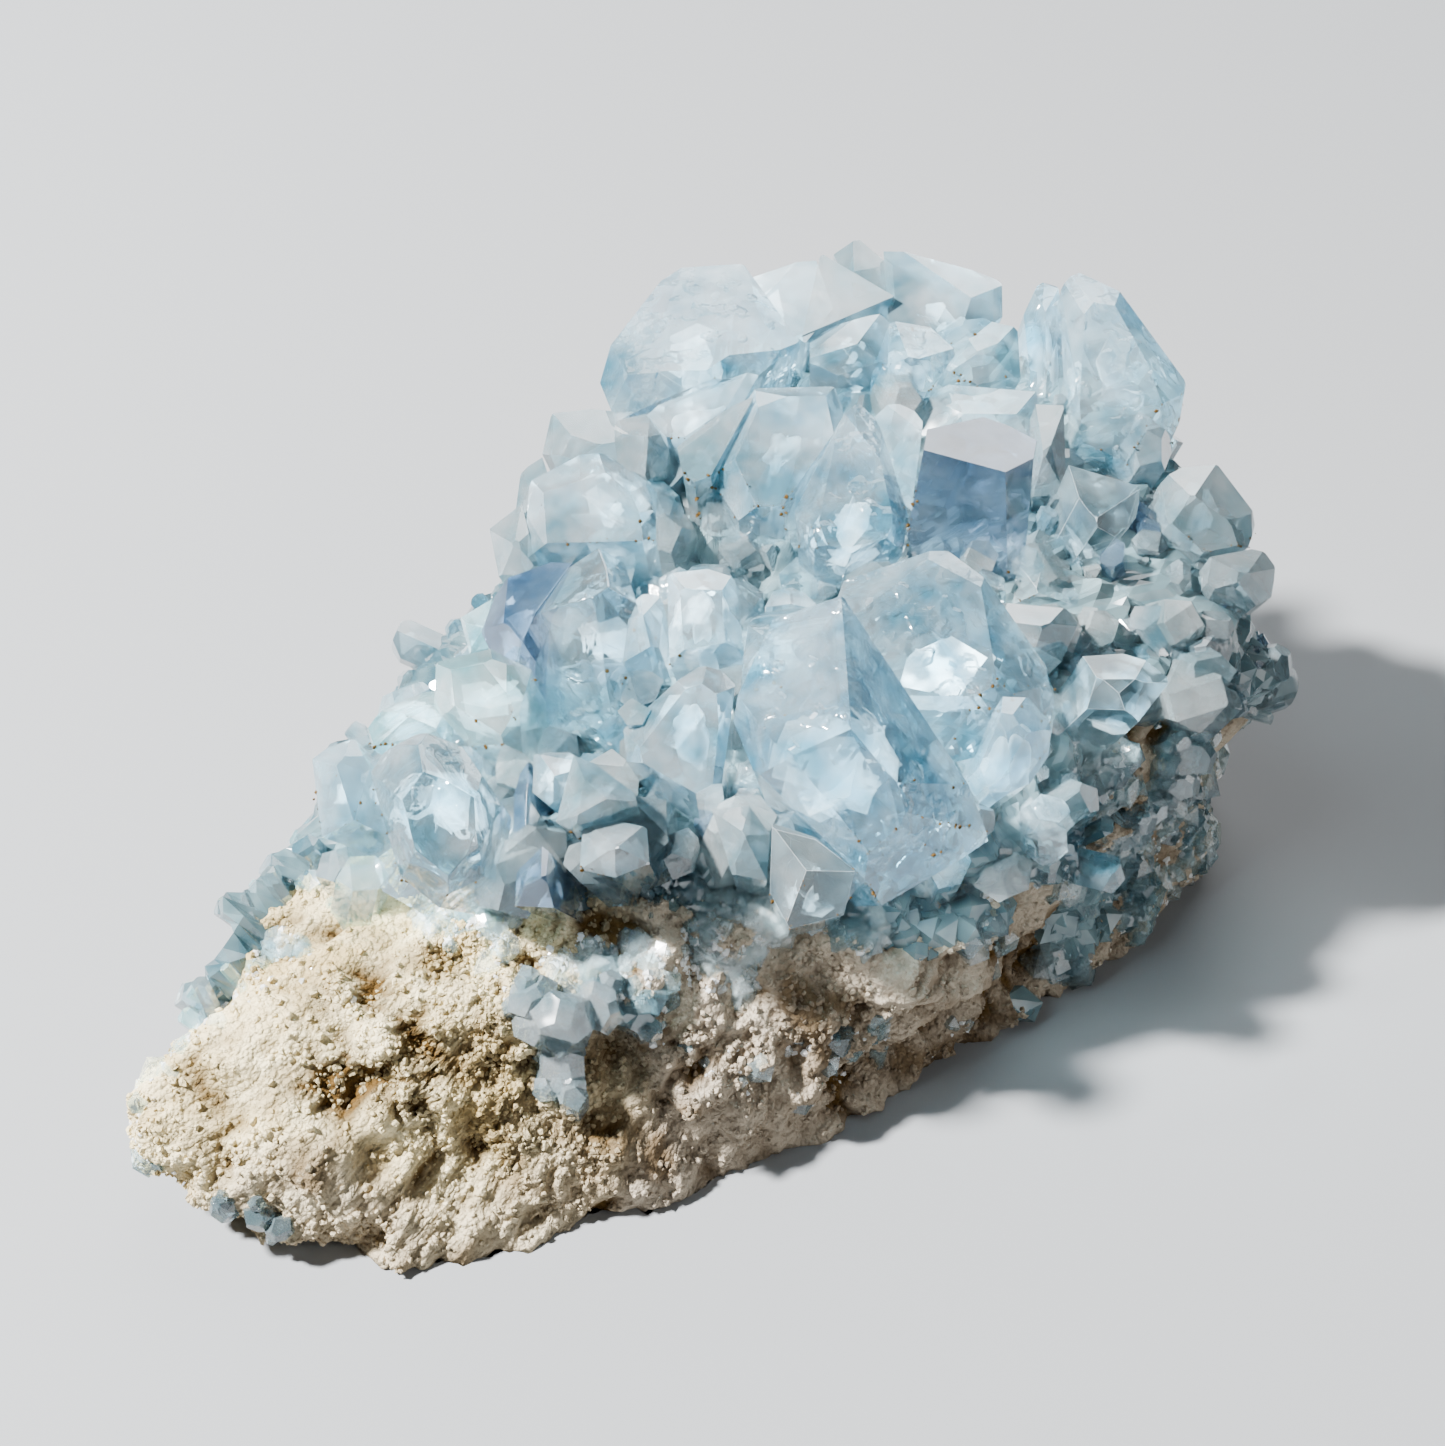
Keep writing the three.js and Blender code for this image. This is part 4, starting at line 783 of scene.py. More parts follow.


# %% [markdown]
# ## Large crystals
#
# Each large crystal was read from the photo: its corners across and up, and how far forward of the crown's
# slope it stands. Behind them the crystal narrows to a root in the rock. Crystals of one tint are one piece.
# Where an edge is worn it is white, partly wear and partly a painted highlight, but the clearest and the
# darkest kinds keep clear edges.

# %% Large crystals
ROOT_AIM = np.array([4.0, 34.0, 4.0])
EDGE_WIDTH = 0.1
CLEAR_EDGED = ("glassy", "deep", "rippled")
LARGE_CRYSTALS = [
    ("deep_prism", "deep", [(15, 57.5, 4), (18, 57, 5), (20.7, 56, 5.5), (22.6, 56.3, 3.5), (15.1, 58.1, 3),
     (17.9, 59.5, 1.5), (19.2, 59.7, .5), (22.9, 58, 1), (13.2, 49, -1.5), (20.7, 46.5, -1),
     (21.8, 46.8, -3), (13, 47, -2)]),
    ("broad_block", "clear", [(9, 47, 2.5), (9.3, 48, 1.5), (15.2, 50.2, 2), (16.7, 50.2, 2),
     (14.4, 47.4, 4.4), (19.8, 46.2, 3.5), (23.6, 42.6, 3), (24.3, 40.3, 2.5), (23.4, 37, 3), (20.3, 40, 7),
     (17.6, 35.6, 5), (15, 37.8, 6), (13.2, 40, 6.8), (10.5, 42.5, 5)]),
    ("block_foot", "milky", [(20.3, 40, 5), (22.2, 40, 4.5), (23.6, 38.4, 4), (23.8, 36, 3.5),
     (22.4, 34, 3.5), (20.4, 33, 4), (19.6, 33.3, 4), (18.8, 35.4, 4.5), (20.8, 38.6, 6.5), (22.3, 37.6, 6),
     (21, 35, 6)]),
    ("front_giant", "clear", [(4.3, 45.6, 1.5), (8.8, 46.3, 2), (10.8, 44.2, 2.5), (1.6, 38.5, 4.5),
     (3, 35, 5.5), (5, 32.4, 5.5), (8.8, 29.8, 5), (11.2, 26.3, 4), (12, 25.7, 3.5), (13.9, 26.5, 3),
     (16.8, 28.2, 2.5), (19.2, 30, 1.5), (17.6, 35.2, 2.5), (15.2, 38, 3), (12.2, 41, 3.5), (9.5, 38.5, 9),
     (13.2, 34.5, 9), (14.2, 30.5, 7), (10.8, 29.5, 7.5), (5.5, 35.5, 8.2)]),
    ("clear_head", "rippled", [(2.1, 42, 5.5), (2.7, 44.6, 4), (3.3, 45.6, 3), (4.4, 46.3, 2.2),
     (8.7, 46.2, 2.8), (9.3, 45.3, 4.5), (9, 42, 7.6), (9.8, 38.6, 8), (5.5, 38, 9), (2.2, 39.5, 7),
     (4.5, 43.8, 7), (7.8, 43.9, 7.2), (5, 41, 9), (7.5, 40.5, 9.2)]),
    ("head_knob", "milky", [(3.9, 46.2, 1.5), (4.4, 47.4, .5), (5.6, 47.7, .3), (6.8, 47.2, .5),
     (7.8, 46, 1.5), (5.6, 46.6, 2.2)]),
    ("flat_face", "milky", [(-.8, 42.1, 2.5), (.8, 42, 2.5), (1.7, 40.8, 2.5), (1.8, 37.5, 3.2),
     (.8, 33.4, 4), (-.8, 32.5, 4), (-3.2, 33.5, 3.5), (-5.8, 35.4, 3), (-6, 37.5, 3), (-2.5, 41.3, 3),
     (-.5, 41, 4.5), (.9, 40, 4.8), (.2, 34.2, 6.4), (-1, 33.4, 6.4), (-4.8, 36, 5.5), (-3.7, 38.6, 5)]),
    ("white_glint", "frosted", [(-6.4, 39, 4), (-5.5, 40, 3.5), (-4.2, 39.1, 4.7), (-4.7, 38.1, 5.4),
     (-5.8, 38.1, 5)]),
    ("lilac_prism", "glassy", [(-8.7, 49.9, -1.5), (-7.4, 50.4, -1.5), (-6.4, 49.9, -1.5), (-12.5, 45.2, 1),
     (-11, 47.4, 0), (-7.1, 47.9, 3), (-5.2, 46.4, 2), (-4.4, 45.5, 1.2), (-12.4, 36.5, -3.5),
     (-7, 36, -.5), (-3.6, 38, -3)]),
    ("lilac_side", "milky", [(-5.8, 45.5, 1.5), (-4.8, 47.2, .5), (-3.6, 47.2, .5), (-3, 46, 1),
     (-3, 43, 1), (-5.9, 42.6, 2), (-4.6, 45.6, 2.6), (-4.2, 43.4, 3)]),
    ("grey_crescent", "deep", [(-15.7, 45, -1), (-15.3, 46.5, -1.5), (-14.6, 47.6, -2), (-13.8, 48.5, -2),
     (-10.9, 49.4, -2), (-9.6, 49.3, -1.5), (-12.5, 45.6, 2), (-12.2, 42.5, 2.5), (-12.1, 40.1, 1.5),
     (-13.3, 40, 1.5), (-15.2, 42.6, .5), (-14.5, 45.2, 1.6), (-13.2, 44, 2.8)]),
    ("moon_face", "milky", [(-12.7, 54.4, 0), (-10.8, 55.9, -.5), (-8.8, 57.3, -1), (-7.2, 57.1, -1),
     (-4.9, 55.1, -.5), (-3.5, 54.2, 0), (-3.4, 50.4, 1), (-8, 49.6, 1.5), (-12.8, 50.2, .5),
     (-11.4, 53.4, 2), (-9.7, 54.9, 2), (-7.5, 55.4, 2), (-5, 54.2, 2.5), (-4.3, 51, 3.5), (-8, 50.6, 4),
     (-11.6, 51, 3)]),
    ("between_faces", "milky", [(-3, 48.4, 1), (-.2, 49.1, .5), (1.6, 48.2, 1), (2.2, 46, 1.5),
     (2.2, 43, 2.5), (-2.7, 42.2, 2.5), (-2.9, 46, 1.5), (-1.8, 47.6, 2.6), (.6, 47.4, 2.8), (1.2, 44, 4.2),
     (-2, 43.4, 4)]),
    ("white_block", "frosted", [(-11.6, 57.2, -2), (-11.1, 59.3, -3), (-8.6, 60.2, -3.2), (-6.5, 59.9, -3),
     (-6, 58, -1), (-8, 57.3, -.5), (-9.8, 56.6, -.8), (-9.4, 58.4, -.8)]),
    ("white_shoulder", "frosted", [(-6.5, 59.9, -3), (-4, 60.1, -3), (-2.7, 58.5, -2), (-3, 56, -1),
     (-4.3, 55.1, -.6), (-6.4, 56.4, -1), (-6.6, 58.5, -1), (-4.4, 58.2, .4)]),
    ("left_nub", "frosted", [(-13, 55.8, -3), (-11.7, 56.8, -3), (-11.2, 55.3, -1), (-12.6, 54.6, -1),
     (-13.6, 53.6, -2), (-13.4, 52.4, -1.5), (-12.4, 52.4, 0)]),
    ("left_wing", "frosted", [(-15.4, 51.7, -3), (-14.2, 52.7, -3), (-13.2, 53.3, -2.5), (-12.6, 51.5, -.8),
     (-12, 49.2, 0), (-13.2, 48.5, -.5), (-14.7, 48.6, -1.5), (-15, 50, -2.3), (-13.6, 50.6, .4)]),
    ("back_left_giant", "clear", [(-7.6, 61.8, .5), (-3.6, 69.6, -3.5), (-3, 70.1, -3.8), (3, 69.2, -3.5),
     (3.3, 66.6, -.5), (6.4, 64.8, .5), (3.6, 62.7, 2.5), (.2, 62, 4), (-3.5, 60.4, 3.5), (-6.9, 60.1, 2.5),
     (-2.2, 68.2, -1.2), (2, 67.2, -.4), (-5.9, 62.2, 3), (-1, 63.2, 4.6)]),
    ("back_wedge", "milky", [(2.6, 69, -3.5), (4.4, 69.5, -4), (5.2, 70.2, -4), (7.6, 70.3, -4),
     (8.4, 67, -1), (6.8, 64.6, 1), (4.2, 66, .5), (3, 67.2, -.5), (5.4, 68.4, -1.4)]),
    ("under_giant", "milky", [(-4.3, 59.8, 0), (-2.9, 61, -.5), (.3, 61.8, 0), (3.3, 62.3, 0),
     (2.2, 60.3, 1), (.6, 59.8, 1.8), (-1.5, 58.2, 2), (-2.9, 57.8, 1.4)]),
    ("cream_wedge", "frosted", [(-2.3, 57.7, 0), (-1.9, 55.7, 1.5), (-1.1, 54.9, 2), (.2, 55.3, 2.4),
     (.9, 57.3, 2.4), (2.8, 60.3, .4), (.9, 60.2, 0), (-.9, 58.6, .6)]),
    ("pale_octagon", "milky", [(3.4, 61.6, -1), (8.5, 61.7, -1), (9.3, 60.4, -.5), (9.3, 58.9, 0),
     (7.3, 55, 1.5), (6, 53.2, 2), (4.9, 52.6, 2.5), (1.8, 52.5, 2), (.8, 54.4, 1.5), (.9, 56.5, 1),
     (2.6, 60.5, -.5), (3.9, 61, .6), (8.1, 61.1, .6), (8.6, 59, 1.6), (6.8, 55.9, 3.1), (5, 53.4, 4.1),
     (3.2, 53.1, 4.1), (2.3, 55.3, 3.2), (1.8, 57.6, 2.3)]),
    ("clear_octagon", "clear", [(10.2, 60.3, -2.5), (11, 60, -2.5), (9.2, 59.2, -1.5), (8, 56, 1),
     (12.2, 56.3, 1.5), (14, 53.2, 1), (13.5, 50.3, 2), (12.3, 49.8, 2.6), (10.3, 49, 3.2),
     (8.9, 48.7, 3.2), (7.5, 48.9, 2.8), (6.2, 50.3, 2.4), (6, 52.5, 2), (6.8, 54.4, 1.8), (8.5, 55, 3),
     (12, 55.3, 3), (12.6, 51.5, 4.4), (9.8, 49.9, 5), (7.4, 51, 4.4)]),
    ("pale_sliver", "milky", [(11.4, 59.4, -2.5), (13, 60.6, -3), (14.3, 60, -3), (15, 58, -1.5),
     (14.2, 54, -.5), (13.3, 50.2, 0), (12.2, 52, 0), (11.9, 57, -1.5)]),
    ("behind_prism", "milky", [(14.2, 60, -2), (16.2, 61.6, -3), (19.5, 62, -3), (23, 60.6, -2.5),
     (23, 57, -1), (15, 57, -1), (18, 60.2, -.5), (21.5, 59.6, -.5)]),
    ("back_right_giant", "clear", [(24.8, 68.9, -4), (25.2, 69.4, -4.3), (26.8, 69.1, -4.3),
     (28.7, 68.2, -4), (32.4, 63.7, -3), (33.3, 62, -2.5), (33.4, 60.6, -2), (32, 57.8, -1),
     (30.9, 55, -.5), (30.1, 53.8, 0), (27.3, 55.7, 1), (24.8, 56.5, 0), (26, 67, -1.6), (28.3, 67.2, -1.6),
     (31.2, 63.5, -.6), (31.6, 60.3, .6), (26, 60, 2), (30.2, 58.4, 2), (26.5, 57.2, 2.6),
     (29.6, 56.4, 2.4)]),
    ("side_column", "clear", [(21.7, 66.5, -4.5), (22.5, 68.5, -5), (23.2, 69, -5), (23.8, 68.9, -4.8),
     (24.9, 67.4, -3.5), (24.9, 60, -.5), (21.8, 60, -1.6), (23.5, 66.3, -2.2), (23.4, 61, 1)]),
    ("cream_column", "frosted", [(22.8, 60.5, -1), (24.8, 60.3, -.5), (24.8, 54.2, 1), (22.4, 54, 1),
     (23.6, 57, 2.2)]),
    ("back_block", "milky", [(12.6, 70.9, -3.5), (14.5, 70.7, -3.5), (17, 70.1, -3.5), (19.6, 69.6, -3.5),
     (20.4, 68.7, -3), (20.4, 66.8, -1.7), (18.5, 65, .5), (15, 64.3, 1), (12.8, 65.5, .5),
     (12.2, 68, -1.5), (14, 69, -1.1), (18.8, 68.2, -.9), (17.5, 66, 1)]),
    # The sail's frosted white is partly a painted highlight on a face turned to the light.
    ("sail", "frosted", [(8, 71.3, -4), (11.9, 68, -2), (6.7, 65.3, 1.2), (7.3, 69.5, -2.6),
     (10, 66.9, 0)]),
    ("behind_sail", "frosted", [(8.9, 71, -4.5), (9.9, 71.9, -4.5), (10.7, 72, -4.5), (11.3, 71, -4),
     (12.8, 69.5, -3.5), (12.9, 67.5, -1.5), (10, 68, -1.5)]),
    ("saddle_one", "milky", [(7, 65, -2), (10, 66.6, -2.5), (12.6, 66.2, -2), (12.4, 63.4, 0),
     (9, 62.6, .5), (7, 63.2, 0), (9.8, 64.8, .8)]),
    ("saddle_two", "clear", [(12.4, 66, -2), (15.6, 66, -2), (17, 63.8, -.6), (15.6, 61.6, .5),
     (12.6, 61.2, .6), (11.4, 63, 0), (14.2, 63.8, 1.4)]),
    ("saddle_three", "milky", [(16.6, 65.6, -2.4), (19, 66.6, -3), (21.6, 65.4, -2.6), (21.6, 62.4, -.8),
     (18.4, 61.8, 0), (16.4, 62.8, 0), (19.2, 64.2, .4)]),
    ("grey_round", "grey", [(25, 55.5, 1), (27.4, 55.8, 1), (29.8, 54.2, .5), (30, 52.8, .5),
     (28.3, 51.1, 1.5), (26.3, 50.9, 2), (25.2, 52.2, 1.5), (26, 54, 3), (28.5, 53.5, 2.5), (27, 52, 3.2)]),
    ("white_fracture", "frosted", [(19.8, 46.6, 2), (22.5, 46.4, 1.5), (24.9, 46.2, 1), (25.6, 45.3, 1),
     (25.2, 43.6, 1.5), (24.4, 42.6, 2), (22.5, 43.5, 4), (20.8, 45.2, 4), (23.5, 45, 3.8)]),
    ("pocket_prism", "grey", [(21.5, 49.5, -4), (23, 50.2, -5), (25, 48.6, -5), (25.4, 46.4, -4),
     (21.2, 46.4, -2.5), (23, 47.4, -1.5)]),
    ("grey_lilac", "grey", [(25.9, 42.6, 1), (28.5, 43.1, .5), (30.6, 42.6, .5), (32, 41.2, .5),
     (31.4, 39.6, 1), (30.1, 38.2, 1.5), (28, 38.6, 2), (26.2, 39.4, 2), (27.5, 41.5, 3.5), (30, 41, 3),
     (29, 39.8, 3.5)]),
    ("right_knuckle", "frosted", [(31.5, 53.6, -1), (32, 55.4, -2), (33, 56.1, -2.5), (35.6, 56.1, -3),
     (36.3, 54.6, -2.5), (37.4, 53.8, -2.5), (38.2, 52, -2.5), (37.6, 50.6, -1.5), (34.8, 50.2, 0),
     (32.2, 52, .5), (33.5, 54.3, .5), (36, 52.5, .3)]),
    ("right_corner", "frosted", [(37.6, 50.4, -4), (38.8, 50.1, -4.5), (39.6, 49, -4.5), (39.2, 47, -4),
     (37.8, 46.2, -3.5), (35.8, 46.4, -3), (34.8, 47.8, -2), (35, 49.6, -1.5), (37.4, 48.6, -1)]),
    ("left_giant", "rippled", [(-23.6, 34.4, -1), (-22.4, 36.7, -1.5), (-20.2, 37.5, -1.5), (-18, 36.9, -1),
     (-15.6, 34.6, 0), (-14.4, 31.8, .5), (-14.9, 28.5, 1), (-15.3, 27.2, 1.2), (-18.6, 25.1, 2),
     (-21.3, 27.2, 1.5), (-22.4, 30, .5), (-20.2, 36.6, 1), (-21.9, 33.5, 2.5), (-19.3, 34.4, 3.2),
     (-16.2, 33, 3), (-16.3, 29.5, 4), (-18.3, 27.5, 4.5), (-20.6, 29.5, 4)]),
    ("left_column", "milky", [(-27.7, 35.6, -1), (-26.6, 36.6, -1.5), (-24.8, 37, -1.5), (-23.8, 35.2, -.5),
     (-23.9, 31, .5), (-26.9, 30.2, .5), (-27.4, 32.5, 0), (-25.9, 35.2, 1), (-25, 31.5, 2)]),
    ("aqua_block", "aqua", [(-19.1, 42.4, -1), (-15.3, 43.4, -2), (-12.7, 42, -1), (-12.5, 39, .5),
     (-13, 36.1, 1.5), (-15, 36.3, 1.5), (-17, 36.8, 1), (-19.2, 39.3, 0), (-18.2, 41.9, .8),
     (-15.2, 42.5, .8), (-13.6, 39, 2.5), (-14.5, 37.3, 3), (-17.6, 39, 2.2)]),
    ("aqua_nub", "aqua", [(-17.4, 45.5, -3), (-16.2, 46.3, -3), (-15.2, 46.8, -3), (-15.2, 43.3, -1),
     (-16.6, 43, -1.5), (-17.2, 44.2, -2), (-16, 44.8, -.8)]),
    ("green_block", "aqua", [(-24, 37.6, -1.5), (-23, 39.1, -2), (-21, 39.8, -2.5), (-19.3, 40.6, -2.5),
     (-18.6, 39.3, -1), (-19, 37.6, .5), (-21.5, 37.4, .5), (-23.6, 36.5, 0), (-21, 38.8, .8)]),
    ("frosted_fan", "frosted", [(-9.8, 35.8, -.5), (-8, 35.4, -.5), (-7.4, 34.8, 0), (-5.2, 33.2, .5),
     (-5, 32.3, 1), (-9.6, 30.4, 2), (-10.6, 31.2, 1.5), (-10.2, 32.4, 1.5), (-8.6, 34.2, 2), (-7, 33, 2.8),
     (-9.2, 31.8, 3.2)]),
    ("lilac_foot", "milky", [(-12.4, 36, -1), (-9.8, 36.2, -1), (-8.4, 35.2, 0), (-9.6, 33.4, .5),
     (-11.2, 32.4, .5), (-12.4, 33.4, 0), (-10.8, 34.8, 1.4)]),
    ("low_frost", "frosted", [(-8.9, 30.8, -1), (-6.4, 31.4, -1), (-4.4, 30.8, -.5), (-4.2, 28.4, .5),
     (-6.6, 27.4, 1), (-9, 28, .5), (-6.6, 29.6, 2)]),
    ("pocket_post", "deep", [(-13.2, 34.8, -4), (-12.6, 35.4, -4), (-12.5, 33.2, -3.4), (-13.4, 28, -2),
     (-12.6, 28.4, -2), (-13.9, 32, -3.6), (-13.1, 30.6, -1.8)]),
    ("slate_pair", "deep", [(-13.6, 27.8, -1.6), (-11.8, 29.7, -2), (-11.2, 29.2, -1.6), (-10.8, 25.3, -.5),
     (-13.6, 25.4, -.5), (-11.6, 27.4, .6), (-13, 26.8, .4)]),
    ("buried_grey", "grey", [(4.4, 31.2, 1), (6.8, 30.4, 1), (8.4, 29.6, 1.4), (10, 27.6, 1.4),
     (9.4, 24.8, 0), (5.6, 23.8, 0), (4.2, 26.4, .4), (6.6, 28, 2.6)]),
    ("frosted_wall", "frosted", [(.4, 32.2, 0), (2.8, 32.4, 0), (4.2, 30.4, .5), (4, 27.2, .5),
     (1.8, 27.6, .8), (.8, 29.6, .6), (2.4, 30.4, 2.2)]),
]


def large_crystal(corners):
    """Planes of one large crystal, from its read corners and the same corners drawn in at the root."""
    read = np.array(corners, float)
    a, u, f = read.mean(axis=0)
    base = crown_forward(a, u)
    front = from_view(read[:, 0], read[:, 1], base + read[:, 2])
    root = unit(0.4 * unit(ROOT_AIM - from_view(a, u, base + f)) + 0.6 * np.array([0, 0.53, -0.85])) * 10
    back = from_view(a + 0.72 * (read[:, 0] - a), u + 0.72 * (read[:, 1] - u), base + f) + root
    return main_faces(np.vstack([front, back]))


large_planes = []
for k, (_, tint, read) in enumerate(LARGE_CRYSTALS):
    n, h = large_crystal(read)
    corners = corners_of(n, h)
    width = np.ptp(corners, axis=0).min()
    large_planes.append((tint, *nicked(n, h, k, 4, 0.05 * width), width))
for tint in sorted({crystal[0] for crystal in large_planes}):
    corners, faces = together([crystal_faces(n, h) for own, n, h, _ in large_planes if own == tint])
    soften(make_piece(f"crystals_{tint}", corners, faces, CELESTITE[tint], ["crystal_cluster"],
                      smooth=False, shades=tint not in SHADELESS), EDGE_WIDTH, 2,
           CELESTITE[tint] if tint in CLEAR_EDGED else WORN_EDGE_AND_HIGHLIGHT)

# %% [markdown]
# ## Specks on the crystals
#
# Crumbs of the rock cling along the lower front edges of the large crystals. They are placed on those edges,
# a couple to a millimetre, and share the rock's stained colour.

# %% Specks
def lower_edges(normals, reach):
    """The two ends of each edge that lies below and before the middle of the crystal."""
    corners, faces = crystal_faces(normals, reach)
    ends = np.array([pair for ring in faces for pair in zip(ring, ring[1:] + ring[:1])])
    ends = ends[ends[:, 0] < ends[:, 1]]
    away = corners[ends].mean(axis=1) - corners.mean(axis=0)
    chosen = ends[(away @ VIEW_UP < 0) & (away @ VIEW_FORWARD > 0)]
    return corners[chosen[:, 0]], corners[chosen[:, 1]]


ends = [lower_edges(n, h) for _, n, h, width in large_planes if width > 5]
first, second = (np.vstack([pair[i] for pair in ends]) for i in range(2))
length = np.linalg.norm(second - first, axis=1)
SPECKS = 900
chosen = random.choice(len(length), SPECKS, p=length / length.sum())
share = random.uniform(0, 1, SPECKS)[:, None]
spots = first[chosen] * (1 - share) + second[chosen] * share + random.normal(0, 0.12, (SPECKS, 3))
spots = spots[fractal(spots, 5, 121, 2) > 0.1]
corners, faces = scattered(GRAIN, shell_of(GRAIN), spots, 0.04 + 0.13 * random.uniform(0, 1, len(spots)) ** 3,
                           1.3, 0.3)
specks = make_piece("specks_of_rock", corners, faces, CHALK, ["matrix"], smooth=False)
mark(specks, "sand_and_shade", np.ones(len(corners)))
mark(specks, "stain_and_shade", np.ones(len(corners)))

# %% [markdown]
# ## Milky hearts and healed cracks
#
# A celestite crystal is often clear at its skin and milky at heart, and cracks that healed show as bright
# films. A heart is the crystal again, drawn in and blended smooth, as the lump was. A crack is the part of
# the crystal between two planes that almost touch.

# %% Hearts and cracks
def heart(normals, reach, k, margin):
    """A smooth body inside the crystal: its planes drawn in by margin, their pulls summed at power 8."""
    d, faces = skin_grid(28, 44, lambda share: np.radians(-88 + 176 * share))
    corners = corners_of(normals, reach)
    middle = corners.mean(axis=0)
    gap = np.maximum(reach - normals @ middle - margin, 0.4)
    pull = np.maximum(0, d @ normals.T) / gap
    far = (pull**8).sum(axis=1) ** (-1 / 8)
    far = far * np.clip(0.66 + 0.5 * fractal(middle + d * far[:, None], 5, 91 + k, 4), 0.2, 0.98)
    return middle + d * far[:, None], faces


def crack(normals, reach, k, size):
    """A film 0.04 mm thick through a place inside the crystal, its outline cut by five uneven sides."""
    corners = corners_of(normals, reach)
    share = np.array([wander(k, 40 + i) for i in range(len(corners))]) ** 4
    middle = 0.35 * corners.mean(axis=0) + 0.65 * share @ corners / share.sum()
    n = unit(np.array([wander(k, 31) - 0.5, wander(k, 32) - 0.5, wander(k, 33) - 0.4]))
    u = unit(np.cross(n, [0.3, 0.5, 0.8]))
    turns = 2 * np.pi * (np.arange(5) + 0.7 * np.array([wander(k, 50 + i) for i in range(5)])) / 5
    sides = np.cos(turns)[:, None] * u + np.sin(turns)[:, None] * np.cross(n, u)
    far = size * np.array([0.5 + wander(k, 60 + i) for i in range(5)])
    planes = np.vstack([normals, [n, -n], sides])
    at = n @ middle
    return crystal_faces(planes, np.concatenate([reach - 0.2, [at + 0.02, 0.02 - at], sides @ middle + far]))


def has_heart(tint, k, width):
    """About a third of the clear and milky crystals between 5 and 10 mm wide."""
    return 5 < width < 10 and tint in ("clear", "milky", "glassy", "aqua") and wander(k, 70) < 0.35


def crack_count(tint, width):
    """The clearest kinds show the most cracks; of the rest, the larger ones do."""
    return {"rippled": 12, "glassy": 8, "frosted": 6}.get(tint, 6 if width > 5 else 2)


with_heart = [(n, h, w) for k, (tint, n, h, w) in enumerate(large_planes) if has_heart(tint, k, w)]
hearts = [heart(n, h, k, 0.16 * w) for k, (n, h, w) in enumerate(with_heart)]
corners, faces = together(hearts)
make_piece("milky_hearts", corners, faces, VEIL, ["crystal_cluster"], shades=False)
cracks = [crack(n, h, k + 100 * i, (0.05 + 0.13 * wander(k, 71 + i)) * w)
          for k, (tint, n, h, w) in enumerate(large_planes) for i in range(crack_count(tint, w))]
corners, faces = together([c for c in cracks if len(c[1]) > 3])
make_piece("healed_cracks", corners, faces, CRACK, ["crystal_cluster"], smooth=False,
           shades=False)

# %% [markdown]
# ## Small crystals
#
# The small crystals share celestite's habit: a prism of four or six sides with a roof. They are seated at
# evenly scattered directions, no nearer than their size allows, and each leans a little its own way.

# %% Small crystals
def small_crystal(seat, grow, k, half_width, length):
    """A prism along grow with a bevelled roof, turned about its axis by a wandering angle."""
    g = unit(grow)
    aside = np.array([0, 0, 1.0]) if abs(g[2]) < 0.9 else np.array([1.0, 0, 0])
    u = unit(np.cross(aside, g))
    spin = 2 * math.pi * wander(k, 3)
    p = math.cos(spin) * u + math.sin(spin) * np.cross(g, u)
    axes = np.stack([p, np.cross(g, p), g])
    flat = half_width * (0.75 + 0.35 * wander(k, 4))
    habit = np.array([
        (0.615, 0.789, 0, half_width), (0.615, -0.789, 0, half_width),
        (-0.615, 0.789, 0, half_width), (-0.615, -0.789, 0, half_width),
        (1, 0, 0, flat), (-1, 0, 0, flat),
        (0, 0.615, 0.788, 0.788 * length), (0, -0.615, 0.788, 0.788 * length * (0.85 + 0.3 * wander(k, 5))),
        (0.773, 0, 0.635, 0.635 * length * (0.95 + 0.3 * wander(k, 6))),
        (-0.773, 0, 0.635, 0.635 * length * (0.95 + 0.3 * wander(k, 7))),
        (0, 0, 1, 0.9 * length), (0, 0, -1, 0.8 * half_width),
    ])
    corners, faces = crystal_faces(unit(habit[:, :3]), habit[:, 3])
    return seat + corners @ axes, faces


def seats(tries, spacing):
    """Places for small crystals: evenly scattered directions, kept where crystals grow and room is left."""
    k = np.arange(tries)
    z = 1 - 2 * (k + 0.5) / tries
    turn = k * 2.399963
    d = np.stack([np.sqrt(1 - z * z) * np.cos(turn), np.sqrt(1 - z * z) * np.sin(turn), z], axis=1)
    p, n = lump_place(d), lump_outward(d)
    across, up, _ = to_view(p)
    grain = np.where(n[:, 1] > 0.6, 1.3, 1.0)
    grain = np.where((across > 26) & (up < 52) & (n[:, 1] < 0.5), 0.6, grain)
    grain = np.where(across < -27, 0.62, grain)
    kept = []
    for i in np.flatnonzero(coverage(p, n) > 0):
        room = spacing * np.maximum(grain[i], grain[kept]) if kept else 0
        if not kept or (np.linalg.norm(p[kept] - p[i], axis=1) > room).all():
            kept.append(i)
    return [(p[i], n[i], int(i), float(grain[i])) for i in kept]


def leaning(n, k, by):
    """A growing direction: outwards, a little upwards, and astray by a wandering amount."""
    astray = np.array([wander(k, 8) - 0.5, wander(k, 9) - 0.5, wander(k, 10)])
    return 0.8 * n + by * astray


def swallowed(place):
    """True inside a large crystal."""
    return any((place @ n.T < h - 0.3).all() for _, n, h, _ in large_planes)


